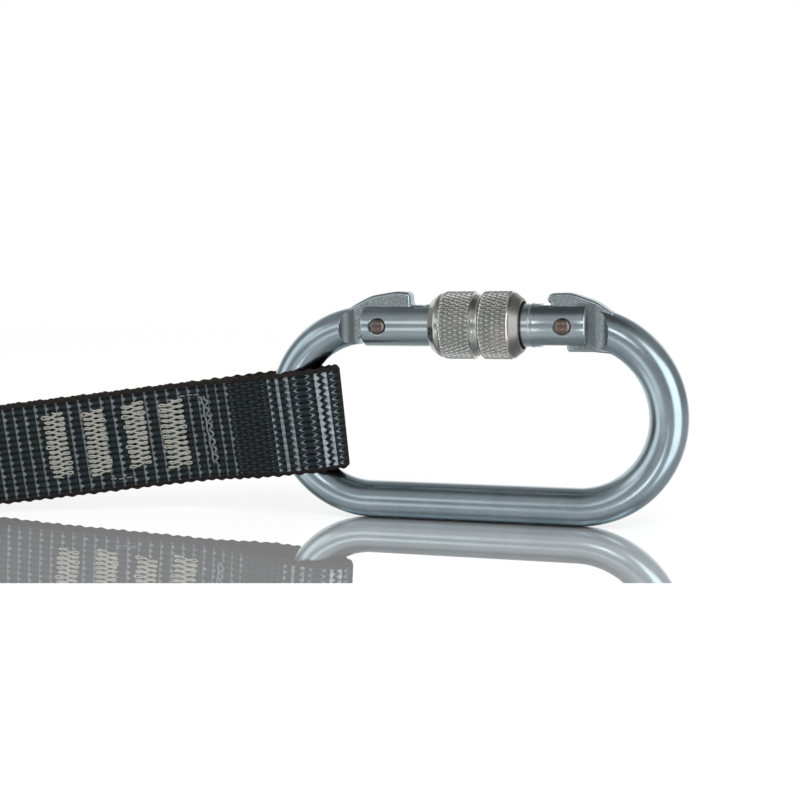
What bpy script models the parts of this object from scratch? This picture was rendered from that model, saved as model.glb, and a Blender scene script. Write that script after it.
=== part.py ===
"""Twin shock-absorbing lanyard: an oval screw-gate karabiner, its sewn strap, the absorber
pack, two webbing legs folded as a hank, and two scaffold hooks. Units are metres, +Z is up.

The karabiner stands on its spine in the XZ plane. The strap leaves it towards -X.
"""
import math

import bmesh
import bpy
import numpy as np
from mathutils import Matrix, Vector

MM = 0.001
GAP = 0.3 * MM                      # clearance between neighbours that touch

# Karabiner
BAR_D = 9.8 * MM                    # bent bar
HALF_LEN = 51.0 * MM                # centre of the oval to the bar's centre line, along X
END_R = 23.2 * MM                   # centre line radius of both ends
GATE_D = 11.0 * MM                  # gate tube
BORE_D = 6.2 * MM                   # spring bore in the gate
TONGUE_T = 4.6 * MM                 # thickness of the nose and hinge tongues
HINGE_X = 25.2 * MM                 # hinge rivet from the oval's centre
LATCH_X = -23.2 * MM                # latch rivet from the oval's centre
GATE_LEFT_X = -27.9 * MM
GATE_RIGHT_X = 30.9 * MM
NOSE_MILL_X = -30.3 * MM            # where the milled nose meets the round bar
HINGE_MILL_X = 32.9 * MM
MILL_RUN = 3.6 * MM                 # length of the slanted end of each milled flat
HUMP_RISE = 3.25 * MM               # nose tongue above the gate tube
HINGE_RISE = 2.55 * MM              # hinge tongue above the gate tube
HINGE_DROP = 1.0 * MM               # hinge tongue below the gate tube
NOSE_TIP_X = -15.2 * MM             # rounded end of the nose tongue
NOSE_HUMP_X = -25.7 * MM            # shoulder of the nose tongue's hump
HINGE_HUMP_X = 21.0 * MM            # left end of the hinge tongue's hump
HEEL_X = 25.9 * MM                  # left end of the hinge tongue below the gate
CAM_R = 3.4 * MM                    # cam of the hinge tongue, round the hinge
FINGER_LEN = 3.5 * MM               # thin tip that the sleeve slides over
FINGER_T = 2.1 * MM                 # height of that tip
RIVET_D = 3.2 * MM
RIVET_HEAD_D = 4.3 * MM
RIVET_HEAD_RISE = 0.8 * MM          # dome above the tube
SPOT_DEPTH = 0.55 * MM              # spot face under each rivet head

# Locking sleeve, along X from its left end
SLEEVE_LEFT_X = -9.4 * MM
SLEEVE_LEN = 23.8 * MM
SLEEVE_KNURL_R = 8.65 * MM
SLEEVE_WAIST_R = 7.9 * MM
SLEEVE_COLLAR_R = 8.35 * MM
SLEEVE_END_R = 6.5 * MM

# Webbing
WEB_W = 28.0 * MM
WEB_T = 2.0 * MM
LAYER_GAP = 0.4 * MM                # between the two sewn layers
STRAP_DIP_DEG = 6.4                 # the strap end slopes down to the left
STRAP_RISE = 25.2 * MM              # height of the strap's middle at the bar
STRAP_FOLD = 16.1 * MM              # bar centre to the tip of the fold
STRAP_JOIN = 30.0 * MM              # bar centre to where the two layers meet
STRAP_TUCK = 15.0 * MM              # length of the strap inside the pack

# Absorber pack
PACK_RIGHT_X = -143.0 * MM
PACK_LEN = 130.0 * MM
PACK_SWELL = 5.0 * MM               # height of the pack above that of its mouth
PACK_T = 26.0 * MM
PACK_Y = -15.0 * MM                 # the pack's middle, in front of the karabiner's plane
COVER_WALL = 1.2 * MM
COVER_SQUARE = 6.0                  # exponent of the cover's rounded section
MOUTH_ROOM = 1.5 * MM               # between the webbing's edges and the mouth's outside
MOUTH_T = 13.0 * MM                 # thickness of the cover at its mouth
TEAR_T = 2.8 * MM
TEAR_RUNS = 5
TEAR_GAP = 0.5 * MM

# Legs and hank
LEG_OFFSET = 1.7 * MM               # each leg from the pack's middle line
LEG_LIFT = 0.1 * MM                 # lower edge of a leg above the table
LEG_DROP = 22.0 * MM                # from the pack to where a leg has come half way down
LEG_DROP_RUN = 7.0 * MM
FOLD_X = -626.0 * MM                # far end of the hank
FOLD_R = 13.0 * MM
RETURN_X = -247.0 * MM              # where each leg turns towards its hook
RETURN_R = 29.0 * MM
TIE_X = -470.0 * MM
TIE_W = 25.0 * MM
TIE_T = 1.5 * MM
WAIST_STEP = 11.0 * MM              # spacing of the runs at the tie
WAIST_REACH = 55.0 * MM             # the tie's pull dies out over this length
TWIST_RUN = 70.0 * MM               # the leg turns flat over this length
LOOP_LEN = 62.0 * MM                # sewn loop, eye bar to the end of the overlap
LOOP_FOLD = 10.6 * MM               # eye bar to the tip of the loop's fold

# Scaffold hook: p runs from the eye to the bowl, q from the spine to the nose
HOOK_T = 11.0 * MM
HOOK_THIN = 7.0 * MM                # eye, gate lug and nose tongue
HOOK_BAR = 13.0 * MM                # width of the bar
HOOK_SPINE_Q = -41.5 * MM           # outer face of the spine
HOOK_NOSE_Q = 69.5 * MM             # outer face of the nose
HOOK_TOP_P = 218.0 * MM
HOOK_NECK_P = 56.0 * MM             # where the neck meets the spine
BOWL_STRAIGHT = 3.7 * MM            # between the bowl's curve and the thin nose tongue
NOSE_STEP = 12.0 * MM               # length of the thin nose tongue
NOSE_SEAT = 1.5 * MM                # seat of the gate, set in from the nose's inner face
BAR_EDGE = 2.6 * MM                 # rounding of the forged bar's edges
NOSE_EDGE = 1.0 * MM                # rounding of the nose tongue's edges
EYE_END_P = -16.25 * MM
EYE_BAR = 7.0 * MM                  # width of the bar that carries the strap
EYE_EDGE = 2.05 * MM                # chamfer of the eye plate, so that this bar is eight-sided
EYE_CORNER = 3.0 * MM               # rounding of the eye's hole
EYE_HOLE_P = 16.0 * MM
EYE_Q0 = -13.0 * MM
EYE_Q1 = 19.0 * MM
GATE_P = 52.0 * MM                  # hook gate hinge
GATE_Q = 16.0 * MM
HOOK_GATE_W = 15.0 * MM
HOOK_GATE_WALL = 1.5 * MM
HOOK_GATE_ROUND = 7.0 * MM          # rounding of the gate's end at its hinge
LUG_R = 7.2 * MM
LEVER_P = 98.0 * MM                 # lever hinge, in the spine
LEVER_WALL = 1.25 * MM
LEVER_REACH = 50.0 * MM             # from its hinge to the end that is pressed
LEVER_HEAD = 14.0 * MM              # from its hinge to the other end
LEVER_STAND = 10.0 * MM             # back of the pressed end, from the spine
HOOK_RIVET_D = 5.0 * MM
HOOK_RIVET_HEAD = 9.0 * MM
HOOK_RIVET_RISE = 0.8 * MM
TORSION_WIRE = 0.9 * MM             # torsion springs of the hook's gate and lever
TORSION_RISE = 1.4 * MM             # from the first turn's middle to the last's

# Worked out from the above
BAR_R = BAR_D / 2
GATE_R = GATE_D / 2
AXIS_Z = BAR_R + 2 * END_R          # height of the gate's axis; the spine rests on z = 0
OVAL_Z = BAR_R + END_R
ARC_X = HALF_LEN - END_R            # centre of each round end
MOUTH_H = WEB_W + 2 * MOUTH_ROOM    # height of the cover at its mouth
PACK_H = MOUTH_H + PACK_SWELL
SLEEVE_BORE_R = GATE_R + 1.5 * GAP
PACK_LEFT_X = PACK_RIGHT_X - PACK_LEN
STRAP_RUN = -HALF_LEN - PACK_RIGHT_X             # bar centre to the mouth of the pack
STRAP_LEN = STRAP_RUN + STRAP_TUCK
DIP = math.radians(STRAP_DIP_DEG)
STRAP_DROP = STRAP_RISE - MOUTH_H / 2
STRAP_BEND = (STRAP_DROP - DIP * STRAP_RUN / 2) / (math.sin(DIP) - DIP / 2)
LEVER_HALF_T = HOOK_T / 2 + GAP + LEVER_WALL
LEVER_Q = HOOK_SPINE_Q + HOOK_BAR / 2            # lever rivet, in the middle of the spine
TORSION_R = HOOK_RIVET_D / 2 + GAP + TORSION_WIRE / 2
TORSION_ROOM = TORSION_RISE + TORSION_WIRE + 2 * GAP
EYE_SWING_R = math.hypot(EYE_BAR / 2, HOOK_THIN / 2 - EYE_EDGE)
HOOK_Z = LEVER_HALF_T + HOOK_RIVET_RISE
BOWL_R = (HOOK_NOSE_Q - HOOK_SPINE_Q) / 2 - 0.2 * MM
STEP_P = HOOK_TOP_P - BOWL_R - BOWL_STRAIGHT     # where the bar thins to the nose tongue
HOOK_NOSE_P = STEP_P - NOSE_STEP                 # tip of the nose
GATE_HALF_T = HOOK_THIN / 2 + GAP + HOOK_GATE_WALL
RUN_Y = LEG_OFFSET + 2 * FOLD_R     # second run of each leg, from the middle line
LOOP_Y = RUN_Y + 2 * RETURN_R       # each leg's sewn loop, from the middle line
EYE_Y = LOOP_Y - (EYE_Q0 + EYE_Q1) / 2
TWIST_END_X = RETURN_X - 10 * MM - TWIST_RUN
EYE_BAR_X = TWIST_END_X - 8 * MM - LOOP_LEN
EYE_X = EYE_BAR_X + EYE_END_P + EYE_BAR / 2
HOOK_FAR_X = EYE_X - HOOK_TOP_P
SHIFT = Vector((-(HOOK_FAR_X + HALF_LEN + BAR_R) / 2, -PACK_Y, 0.0))


def clear_scene():
    for obj in list(bpy.data.objects):
        bpy.data.objects.remove(obj, do_unlink=True)


def material(name, colour, roughness, metallic=0.0):
    mat = bpy.data.materials.new(name)
    mat.use_nodes = True
    shader = mat.node_tree.nodes["Principled BSDF"]
    shader.inputs["Base Color"].default_value = (*colour, 1.0)
    shader.inputs["Roughness"].default_value = roughness
    shader.inputs["Metallic"].default_value = metallic
    return mat


def add_object(name, mesh, mat=None):
    obj = bpy.data.objects.new(name, mesh)
    bpy.context.scene.collection.objects.link(obj)
    if mat:
        mesh.materials.clear()
        mesh.materials.append(mat)
    return obj


def mesh_from(name, verts, faces):
    """A mesh with its doubles merged and every face pointing out."""
    mesh = bpy.data.meshes.new(name)
    mesh.from_pydata([tuple(v) for v in verts], [], faces)
    tidy(mesh)
    return mesh


def tidy(mesh):
    bm = bmesh.new()
    bm.from_mesh(mesh)
    bmesh.ops.remove_doubles(bm, verts=bm.verts, dist=0.002 * MM)
    bmesh.ops.recalc_face_normals(bm, faces=bm.faces)
    bm.to_mesh(mesh)
    bm.free()


def smooth(obj, angle_deg=35.0):
    obj.data.shade_smooth()
    obj.data.set_sharp_from_angle(angle=math.radians(angle_deg))


def combine(obj, tool, operation):
    """Unite, cut or intersect obj with tool, then drop the tool."""
    mod = obj.modifiers.new(operation.lower(), "BOOLEAN")
    mod.operation = operation
    mod.solver = "EXACT"
    mod.object = tool
    graph = bpy.context.evaluated_depsgraph_get()
    done = bpy.data.meshes.new_from_object(obj.evaluated_get(graph))
    obj.modifiers.clear()
    mats = list(obj.data.materials)
    obj.data = done
    done.materials.clear()
    for mat in mats:
        done.materials.append(mat)
    bpy.data.objects.remove(tool, do_unlink=True)
    return obj


def rounded(corners, steps=5):
    """Outline through corners (x, y, radius), each rounded by an arc of that radius."""
    points = []
    count = len(corners)
    for i, (x, y, radius) in enumerate(corners):
        here = Vector((x, y))
        before = (Vector(corners[i - 1][:2]) - here).normalized()
        after = (Vector(corners[(i + 1) % count][:2]) - here).normalized()
        if radius <= 0:
            points.append(here)
            continue
        half = before.angle(after) / 2
        centre = here + (before + after).normalized() * radius / math.sin(half)
        start = here + before * radius / math.tan(half) - centre
        end = here + after * radius / math.tan(half) - centre
        turn = math.atan2(start.cross(end), start.dot(end))
        pieces = max(1, round(steps * abs(turn) / (math.pi / 2)))
        for k in range(pieces + 1):
            points.append(centre + Matrix.Rotation(turn * k / pieces, 2) @ start)
    return points


def circle(x, y, radius, count):
    return [Vector((x + radius * math.cos(2 * math.pi * k / count),
                    y + radius * math.sin(2 * math.pi * k / count))) for k in range(count)]


def plate(name, loops, thickness, place, edge=0.0, edge_steps=1, mat=None):
    """A flat plate from its outline and holes, with rounded edges of radius edge.

    place turns a point (u, v, w) of the plate, w across its thickness, into the part's frame.
    """
    curve = bpy.data.curves.new(name, "CURVE")
    curve.dimensions = "2D"
    curve.fill_mode = "BOTH"
    curve.extrude = thickness / 2 - edge
    curve.bevel_depth = edge
    curve.bevel_resolution = edge_steps
    curve.offset = -edge
    for loop in loops:
        spline = curve.splines.new("POLY")
        spline.points.add(len(loop) - 1)
        for point, target in zip(spline.points, loop):
            point.co = (target[0], target[1], 0.0, 1.0)
        spline.use_cyclic_u = True
    guide = bpy.data.objects.new(name, curve)
    bpy.context.scene.collection.objects.link(guide)
    graph = bpy.context.evaluated_depsgraph_get()
    mesh = bpy.data.meshes.new_from_object(guide.evaluated_get(graph))
    bpy.data.objects.remove(guide, do_unlink=True)
    for vertex in mesh.vertices:
        vertex.co = place(*vertex.co)
    tidy(mesh)
    return add_object(name, mesh, mat)


def upright(u, v, w):
    """Plate place: u along X, v up, w along Y."""
    return Vector((u, w, v))


def turned(name, profile, sides, place, mat=None):
    """A solid of revolution. profile is (along, radius) from one end to the other; points at
    radius 0 close it. place turns (along, across, across) into the part's frame."""
    verts = []
    rings = []
    for along, radius in profile:
        if radius < 1e-9:
            rings.append([len(verts)] * sides)
            verts.append(place(along, 0.0, 0.0))
            continue
        rings.append(list(range(len(verts), len(verts) + sides)))
        for k in range(sides):
            angle = 2 * math.pi * (k + 0.5) / sides
            verts.append(place(along, radius * math.cos(angle), radius * math.sin(angle)))
    open_ends = profile[0][1] > 1e-9
    pairs = list(zip(rings, rings[1:])) + ([(rings[-1], rings[0])] if open_ends else [])
    faces = []
    for ring_a, ring_b in pairs:
        for k in range(sides):
            corners = [ring_a[k], ring_a[(k + 1) % sides], ring_b[(k + 1) % sides], ring_b[k]]
            face = list(dict.fromkeys(corners))
            if len(face) > 2:
                faces.append(face)
    return add_object(name, mesh_from(name, verts, faces), mat)


def along_x(a, b, c):
    """Turned place: on the gate's axis."""
    return Vector((a, b, AXIS_Z + c))


def hinge_at(obj, point):
    """Moves an object's origin to a point on its joint's axis."""
    obj.data.transform(Matrix.Translation(-point))
    obj.location = point
    return obj


def sweep(name, rings, mat=None):
    """A closed solid through rings of equal length, with flat ends."""
    size = len(rings[0])
    verts = [v for ring in rings for v in ring]
    faces = [list(range(size))[::-1], list(range(len(verts) - size, len(verts)))]
    for i in range(len(rings) - 1):
        for k in range(size):
            a, b = i * size + k, i * size + (k + 1) % size
            faces.append([a, b, b + size, a + size])
    return add_object(name, mesh_from(name, verts, faces), mat)


def webbing(name, centres, across, width, thickness, mat=None):
    """A flat strap: a rectangle carried along centres; across is its width direction at
    each centre."""
    centres = np.array(centres, dtype=float)
    tangents = np.gradient(centres, axis=0)
    tangents /= np.linalg.norm(tangents, axis=1)[:, None]
    across = np.array(across, dtype=float)
    across -= (across * tangents).sum(1)[:, None] * tangents
    across /= np.linalg.norm(across, axis=1)[:, None]
    normal = np.cross(tangents, across)
    signs = ((-1, -1), (1, -1), (1, 1), (-1, 1))
    rings = [[Vector(c + a * s * width / 2 + n * t * thickness / 2) for s, t in signs]
             for c, a, n in zip(centres, across, normal)]
    return sweep(name, rings, mat)


def coil(name, radius, wire, start, end, turns, place, mat=None):
    """A spring: a round wire carried along a helix from start to end along its axis."""
    count = int(turns * 8)
    path = []
    for k in range(count + 1):
        angle = 2 * math.pi * turns * k / count
        path.append((start + (end - start) * k / count,
                     radius * math.cos(angle), radius * math.sin(angle)))
    curve = bpy.data.curves.new(name, "CURVE")
    curve.dimensions = "3D"
    curve.bevel_depth = wire / 2
    curve.bevel_resolution = 1
    curve.use_fill_caps = True
    spline = curve.splines.new("POLY")
    spline.points.add(len(path) - 1)
    for point, target in zip(spline.points, path):
        point.co = (*place(*target), 1.0)
    guide = bpy.data.objects.new(name, curve)
    bpy.context.scene.collection.objects.link(guide)
    graph = bpy.context.evaluated_depsgraph_get()
    mesh = bpy.data.meshes.new_from_object(guide.evaluated_get(graph))
    bpy.data.objects.remove(guide, do_unlink=True)
    tidy(mesh)
    return add_object(name, mesh, mat)


# Karabiner

def nose_outline():
    """The nose tongue with its hump, the notch over the latch rivet and the thin tip."""
    top = AXIS_Z + GATE_R + HUMP_RISE
    seat = AXIS_Z + GATE_R + GAP
    finger = AXIS_Z + GATE_R - 0.3 * MM
    notch = RIVET_D / 2 + 1.5 * GAP
    floor = AXIS_Z - 3.1 * MM
    tooth = AXIS_Z - 2.0 * MM
    return rounded([
        (NOSE_MILL_X - 5.5 * MM, AXIS_Z - 5.0 * MM, 0),
        (NOSE_MILL_X - 5.5 * MM, AXIS_Z + 2.2 * MM, 0),
        (NOSE_MILL_X + 0.4 * MM, AXIS_Z + 5.7 * MM, 9 * MM),
        (NOSE_HUMP_X, top - 1.0 * MM, 9 * MM),
        (NOSE_TIP_X - 4.0 * MM, top, 7 * MM),
        (NOSE_TIP_X, top - 0.2 * MM, 1.3 * MM),
        (NOSE_TIP_X + 0.1 * MM, seat, 0.2 * MM),
        (NOSE_TIP_X + 0.6 * MM, finger, 0.3 * MM),
        (NOSE_TIP_X + FINGER_LEN, finger, 0.5 * MM),
        (NOSE_TIP_X + FINGER_LEN, finger - FINGER_T, 0.5 * MM),
        (LATCH_X + 7.4 * MM, finger - FINGER_T, 0.5 * MM),
        (LATCH_X + 7.0 * MM, tooth, 0.5 * MM),
        (LATCH_X + notch, tooth, 0.4 * MM),
        (LATCH_X + notch, AXIS_Z + notch, 0.6 * MM),
        (LATCH_X - notch, AXIS_Z + notch, 0.6 * MM),
        (LATCH_X - notch, floor, 0.4 * MM),
        (NOSE_MILL_X + 1.0 * MM, floor, 0),
        (NOSE_MILL_X, AXIS_Z - 5.0 * MM, 1 * MM)], steps=3)


def hinge_outline():
    """The hinge tongue: hump above the gate, cam for the plunger, heel below the gate."""
    top = AXIS_Z + GATE_R + HINGE_RISE
    over_gate = AXIS_Z + GATE_R + GAP
    heel = AXIS_Z - GATE_R - HINGE_DROP
    cam_arc = [Vector((HINGE_X - CAM_R * math.cos(a), AXIS_Z - CAM_R * math.sin(a)))
               for a in np.radians((0, 20, 40, 60))]
    lower = rounded([
        (HINGE_X - CAM_R, over_gate, 0), (HINGE_HUMP_X, over_gate, 0.42 * MM),
        (HINGE_HUMP_X + 0.1 * MM, top, 1.5 * MM),
        (HINGE_HUMP_X + 5.9 * MM, top + 0.1 * MM, 7 * MM),
        (HINGE_MILL_X + 0.4 * MM, AXIS_Z + 5.9 * MM, 9 * MM),
        (HINGE_MILL_X + 4.6 * MM, AXIS_Z + 3.0 * MM, 0),
        (HINGE_MILL_X + 4.6 * MM, AXIS_Z - 7.0 * MM, 0),
        (HINGE_MILL_X - 0.6 * MM, heel, 2 * MM),
        (HEEL_X, heel, 0.8 * MM),
        (HEEL_X - 0.2 * MM, AXIS_Z - 4.4 * MM, 0)], steps=3)
    return lower + cam_arc[::-1]


def mill_cutter(mill_x, sign, side):
    """Wedge that mills one flat: straight beside the tongue, slanted where the bar begins."""
    half = TONGUE_T / 2
    outer = BAR_R + 2 * MM
    slant = MILL_RUN * (outer - half) / (BAR_R - half)
    far = mill_x - sign * 26 * MM
    loop = [Vector((mill_x, half)), Vector((mill_x + sign * slant, outer)),
            Vector((far, outer)), Vector((far, half))]
    height = 26 * MM
    return plate("mill", [loop], height,
                 lambda u, v, w: Vector((u, side * v, AXIS_Z + w)))


def karabiner_body(mat):
    """Round bar along three quarters of an oval, with milled tongues at both ends."""
    start = math.acos(min(1.0, (HINGE_MILL_X - 0.4 * MM - ARC_X) / END_R))
    end = math.acos(min(1.0, (-NOSE_MILL_X - 0.4 * MM - ARC_X) / END_R))
    right = np.linspace(start, -math.pi / 2, 21)
    left = np.linspace(-math.pi / 2, -math.pi - end, 21)
    path = [(ARC_X + END_R * math.cos(a), END_R * math.sin(a)) for a in right]
    path += [(-ARC_X + END_R * math.cos(a), END_R * math.sin(a)) for a in left]
    normals = [(math.cos(a), math.sin(a)) for a in list(right) + list(left)]
    sides = 24
    rings = []
    for (x, z), (nx, nz) in zip(path, normals):
        ring = []
        for k in range(sides):
            angle = 2 * math.pi * (k + 0.5) / sides
            out = BAR_R * math.cos(angle)
            ring.append(Vector((x + nx * out, BAR_R * math.sin(angle), OVAL_Z + z + nz * out)))
        rings.append(ring)
    body = sweep("karabiner_body", rings, mat)
    for mill_x, sign in ((HINGE_MILL_X, 1), (NOSE_MILL_X, -1)):
        for side in (-1, 1):
            combine(body, mill_cutter(mill_x, sign, side), "DIFFERENCE")
    pivot_hole = circle(HINGE_X, AXIS_Z, RIVET_D / 2 + GAP, 16)
    nose = plate("nose", [nose_outline()], TONGUE_T - 0.02 * MM, upright, edge=0.35 * MM,
                 edge_steps=0)
    hinge = plate("hinge", [hinge_outline(), pivot_hole], TONGUE_T - 0.02 * MM, upright,
                  edge=0.35 * MM, edge_steps=0)
    combine(body, nose, "UNION")
    combine(body, hinge, "UNION")
    smooth(body)
    return body


def karabiner_gate(mat):
    """Tube with a slot over each tongue, a blind spring bore and spot-faced rivet holes."""
    round_end = 0.45 * MM
    blind_x = SLEEVE_LEFT_X + 1.2 * MM
    gate = turned("karabiner_gate", [
        (GATE_LEFT_X, 0), (GATE_LEFT_X, GATE_R - round_end),
        (GATE_LEFT_X + 0.2 * MM, GATE_R - 0.15 * MM),
        (GATE_LEFT_X + round_end + 0.1 * MM, GATE_R),
        (GATE_RIGHT_X - round_end - 0.1 * MM, GATE_R),
        (GATE_RIGHT_X - 0.15 * MM, GATE_R - 0.2 * MM), (GATE_RIGHT_X, GATE_R - round_end),
        (GATE_RIGHT_X, BORE_D / 2), (blind_x, BORE_D / 2), (blind_x, 0)], 32, along_x, mat)
    slot = TONGUE_T / 2 + GAP
    high = AXIS_Z + 9 * MM
    slot_floor = AXIS_Z - 3.4 * MM
    slot_end = NOSE_TIP_X + FINGER_LEN + 0.8 * MM
    nose_slot = rounded([
        (GATE_LEFT_X - 3 * MM, slot_floor, 0), (slot_end, slot_floor, 0),
        (slot_end, high, 0), (GATE_LEFT_X - 3 * MM, high, 0)])
    hinge_slot = rounded([
        (HINGE_X - 6.0 * MM, AXIS_Z - 9 * MM, 0), (GATE_RIGHT_X + 3 * MM, AXIS_Z - 9 * MM, 0),
        (GATE_RIGHT_X + 3 * MM, high, 0), (HINGE_X - 6.0 * MM, high, 0)])
    for loop in (nose_slot, hinge_slot):
        combine(gate, plate("slot", [loop], 2 * slot, upright), "DIFFERENCE")
    for x in (LATCH_X, HINGE_X):
        hole = plate("hole", [circle(x, AXIS_Z, RIVET_D / 2 + GAP, 16)], 14 * MM, upright)
        combine(gate, hole, "DIFFERENCE")
        for side in (-1, 1):
            face_y = side * (GATE_R - SPOT_DEPTH + 1.5 * MM)
            spot = plate("spot", [circle(x, AXIS_Z, RIVET_HEAD_D / 2 + GAP, 24)], 3 * MM,
                         lambda u, v, w, y=face_y: Vector((u, y + w, v)))
            combine(gate, spot, "DIFFERENCE")
    smooth(gate)
    return gate


def domed_rivet(name, shaft_r, head_r, seat, crown, place, mat, sides=16):
    """A rivet with a domed head at each end: seat is half the grip, crown the dome's top."""
    rise = crown - seat
    dome = [(seat + rise * math.sin(a), head_r * math.cos(a)) for a in np.radians((0, 35, 65))]
    half = [(seat, shaft_r)] + dome + [(crown, 0)]
    profile = [(-a, r) for a, r in reversed(half)] + half
    rivet = turned(name, profile, sides, place, mat)
    smooth(rivet)
    return rivet


def locking_sleeve(mat):
    """Turned sleeve: two knurled bands with a waist between, a collar and two tapers."""
    x0 = SLEEVE_LEFT_X
    x1 = x0 + SLEEVE_LEN
    bore = SLEEVE_BORE_R
    profile = [
        (x0, bore + 0.1 * MM), (x0, SLEEVE_END_R - 0.2 * MM),
        (x0 + 0.5 * MM, SLEEVE_END_R + 0.5 * MM),
        (x0 + 2.2 * MM, SLEEVE_COLLAR_R - 0.15 * MM), (x0 + 2.9 * MM, SLEEVE_COLLAR_R),
        (x0 + 3.5 * MM, SLEEVE_KNURL_R), (x0 + 11.4 * MM, SLEEVE_KNURL_R),
        (x0 + 12.0 * MM, SLEEVE_WAIST_R + 0.15 * MM), (x0 + 12.7 * MM, SLEEVE_WAIST_R),
        (x0 + 13.4 * MM, SLEEVE_WAIST_R + 0.15 * MM), (x0 + 14.0 * MM, SLEEVE_KNURL_R),
        (x0 + 21.2 * MM, SLEEVE_KNURL_R), (x0 + 21.7 * MM, SLEEVE_COLLAR_R),
        (x1 - 0.6 * MM, SLEEVE_END_R + 0.65 * MM),
        (x1, SLEEVE_END_R + 0.1 * MM), (x1, bore + 0.1 * MM), (x1 - 0.6 * MM, bore),
        (x0 + 0.4 * MM, bore)]
    sleeve = turned("locking_sleeve", profile, 36, along_x, mat)
    smooth(sleeve)
    return sleeve


def karabiner(mats):
    parts = [karabiner_gate(mats["zinc"]), locking_sleeve(mats["sleeve"])]
    seat = GATE_R - SPOT_DEPTH + GAP
    crown = GATE_R + RIVET_HEAD_RISE
    for name, x in (("hinge_rivet", HINGE_X), ("latch_rivet", LATCH_X)):
        parts.append(domed_rivet(name, RIVET_D / 2, RIVET_HEAD_D / 2, seat, crown,
                                 lambda a, b, c, x=x: Vector((x + b, a, AXIS_Z + c)),
                                 mats["rivet"]))
    plunger_x1 = HINGE_X - CAM_R - GAP
    plunger_x0 = plunger_x1 - 6.5 * MM
    radius = BORE_D / 2 - GAP
    plunger = turned("spring_plunger", [
        (plunger_x0, 0), (plunger_x0, radius - 0.3 * MM), (plunger_x0 + 0.3 * MM, radius),
        (plunger_x1 - 0.6 * MM, radius), (plunger_x1, radius - 0.8 * MM), (plunger_x1, 0)],
        14, along_x, mats["spring"])
    smooth(plunger)
    parts.append(plunger)
    wire = 0.8 * MM
    blind_x = SLEEVE_LEFT_X + 1.2 * MM
    spring = coil("gate_spring", radius - wire / 2, wire, blind_x + wire / 2 + GAP,
                  plunger_x0 - wire / 2 - GAP, 8, along_x, mats["spring"])
    smooth(spring, 60)
    parts.append(spring)
    gate_hinge = Vector((HINGE_X, 0.0, AXIS_Z))
    return [karabiner_body(mats["zinc"])] + [hinge_at(part, gate_hinge) for part in parts]


# Sewn straps

def loop_path(bar_half, fold, join, length):
    """Plan of a strap looped round a bar and sewn back on itself, as (s, b) points.

    s is the distance from the bar's centre towards the sewn end and b the distance of the
    webbing's middle from the axis: an ellipse round the fold, level at the bar, a cosine fall
    to where the layers meet, then straight to the end.
    """
    wide = bar_half + GAP + 0.15 * MM + WEB_T / 2
    slab = (WEB_T + LAYER_GAP) / 2
    level = 0.28 * fold
    half = [(-fold * math.cos(a), wide * math.sin(a)) for a in np.linspace(0, math.pi / 2, 10)]
    for t in np.linspace(0, 1, 11):
        s = level + (join - level) * t
        half.append((s, slab + (wide - slab) * (1 + math.cos(math.pi * t)) / 2))
    steps = max(2, round((length - join) / (6 * MM)))
    half += [(s, slab) for s in np.linspace(join, length, steps + 1)[1:]]
    return half[::-1] + [(s, -b) for s, b in half[1:]]


def strap_y(x):
    """The strap's middle drifts from the karabiner's plane to the pack's plane."""
    start, end = -HALF_LEN - 6 * MM, PACK_RIGHT_X - 4 * MM
    t = min(1.0, max(0.0, (start - x) / (start - end)))
    return PACK_Y * t * t * (3 - 2 * t)


def strap_axis(s):
    """Middle line of the strap at a distance s from the bar: x, z and its slope. It falls at
    a steady dip and levels out between STRAP_BEND and the mouth of the pack."""
    steady = min(s, STRAP_BEND)
    ease = STRAP_RUN - STRAP_BEND
    t = min(1.0, max(0.0, (s - STRAP_BEND) / ease))
    x = -HALF_LEN - steady * math.cos(DIP) - max(0.0, s - STRAP_BEND)
    z = STRAP_RISE - steady * math.sin(DIP) - DIP * ease * (t - t * t / 2)
    return x, z, DIP * (1 - t)


def attachment_strap(mat):
    """Strap end looped round the karabiner's left arc, sloping down towards the pack."""
    centres, across = [], []
    for s, b in loop_path(BAR_R, STRAP_FOLD, STRAP_JOIN, STRAP_LEN):
        x, z, slope = strap_axis(s)
        centres.append((x, strap_y(x) - b, z))
        across.append((-math.sin(slope), 0.0, math.cos(slope)))
    strap = webbing("attachment_strap", centres, across, WEB_W, WEB_T, mat)
    smooth(strap, 50)
    return strap


def absorber_cover(mat):
    """Soft cover lofted through rounded rectangles, open at both ends."""
    sides = 32
    swell = [(0.0, 0.0), (0.02, 0.06), (0.055, 0.55), (0.09, 0.86), (0.15, 0.98), (0.3, 1.0)]
    stations = swell + [(1 - along, full) for along, full in reversed(swell)]

    def ring(along, full, wall):
        half_h = (MOUTH_H + (PACK_H - MOUTH_H) * full) / 2
        half_t = (MOUTH_T + (PACK_T - MOUTH_T) * full) / 2
        middle_z = half_h
        x = PACK_RIGHT_X - PACK_LEN * along
        points = []
        for k in range(sides):
            angle = 2 * math.pi * (k + 0.5) / sides
            c, s = math.cos(angle), math.sin(angle)
            power = 2 / COVER_SQUARE
            points.append(Vector((
                x, PACK_Y + (half_t - wall) * math.copysign(abs(c) ** power, c),
                middle_z + (half_h - wall) * math.copysign(abs(s) ** power, s))))
        return points

    outside = [ring(a, f, 0.0) for a, f in stations]
    inside = [ring(a, f, COVER_WALL) for a, f in reversed(stations)]
    rings = outside + inside
    verts = [v for r in rings for v in r]
    faces = []
    for i in range(len(rings)):
        j = (i + 1) % len(rings)
        for k in range(sides):
            n = (k + 1) % sides
            faces.append([i * sides + k, i * sides + n, j * sides + n, j * sides + k])
    cover = add_object("absorber_cover", mesh_from("absorber_cover", verts, faces), mat)
    smooth(cover, 50)
    return cover


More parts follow.
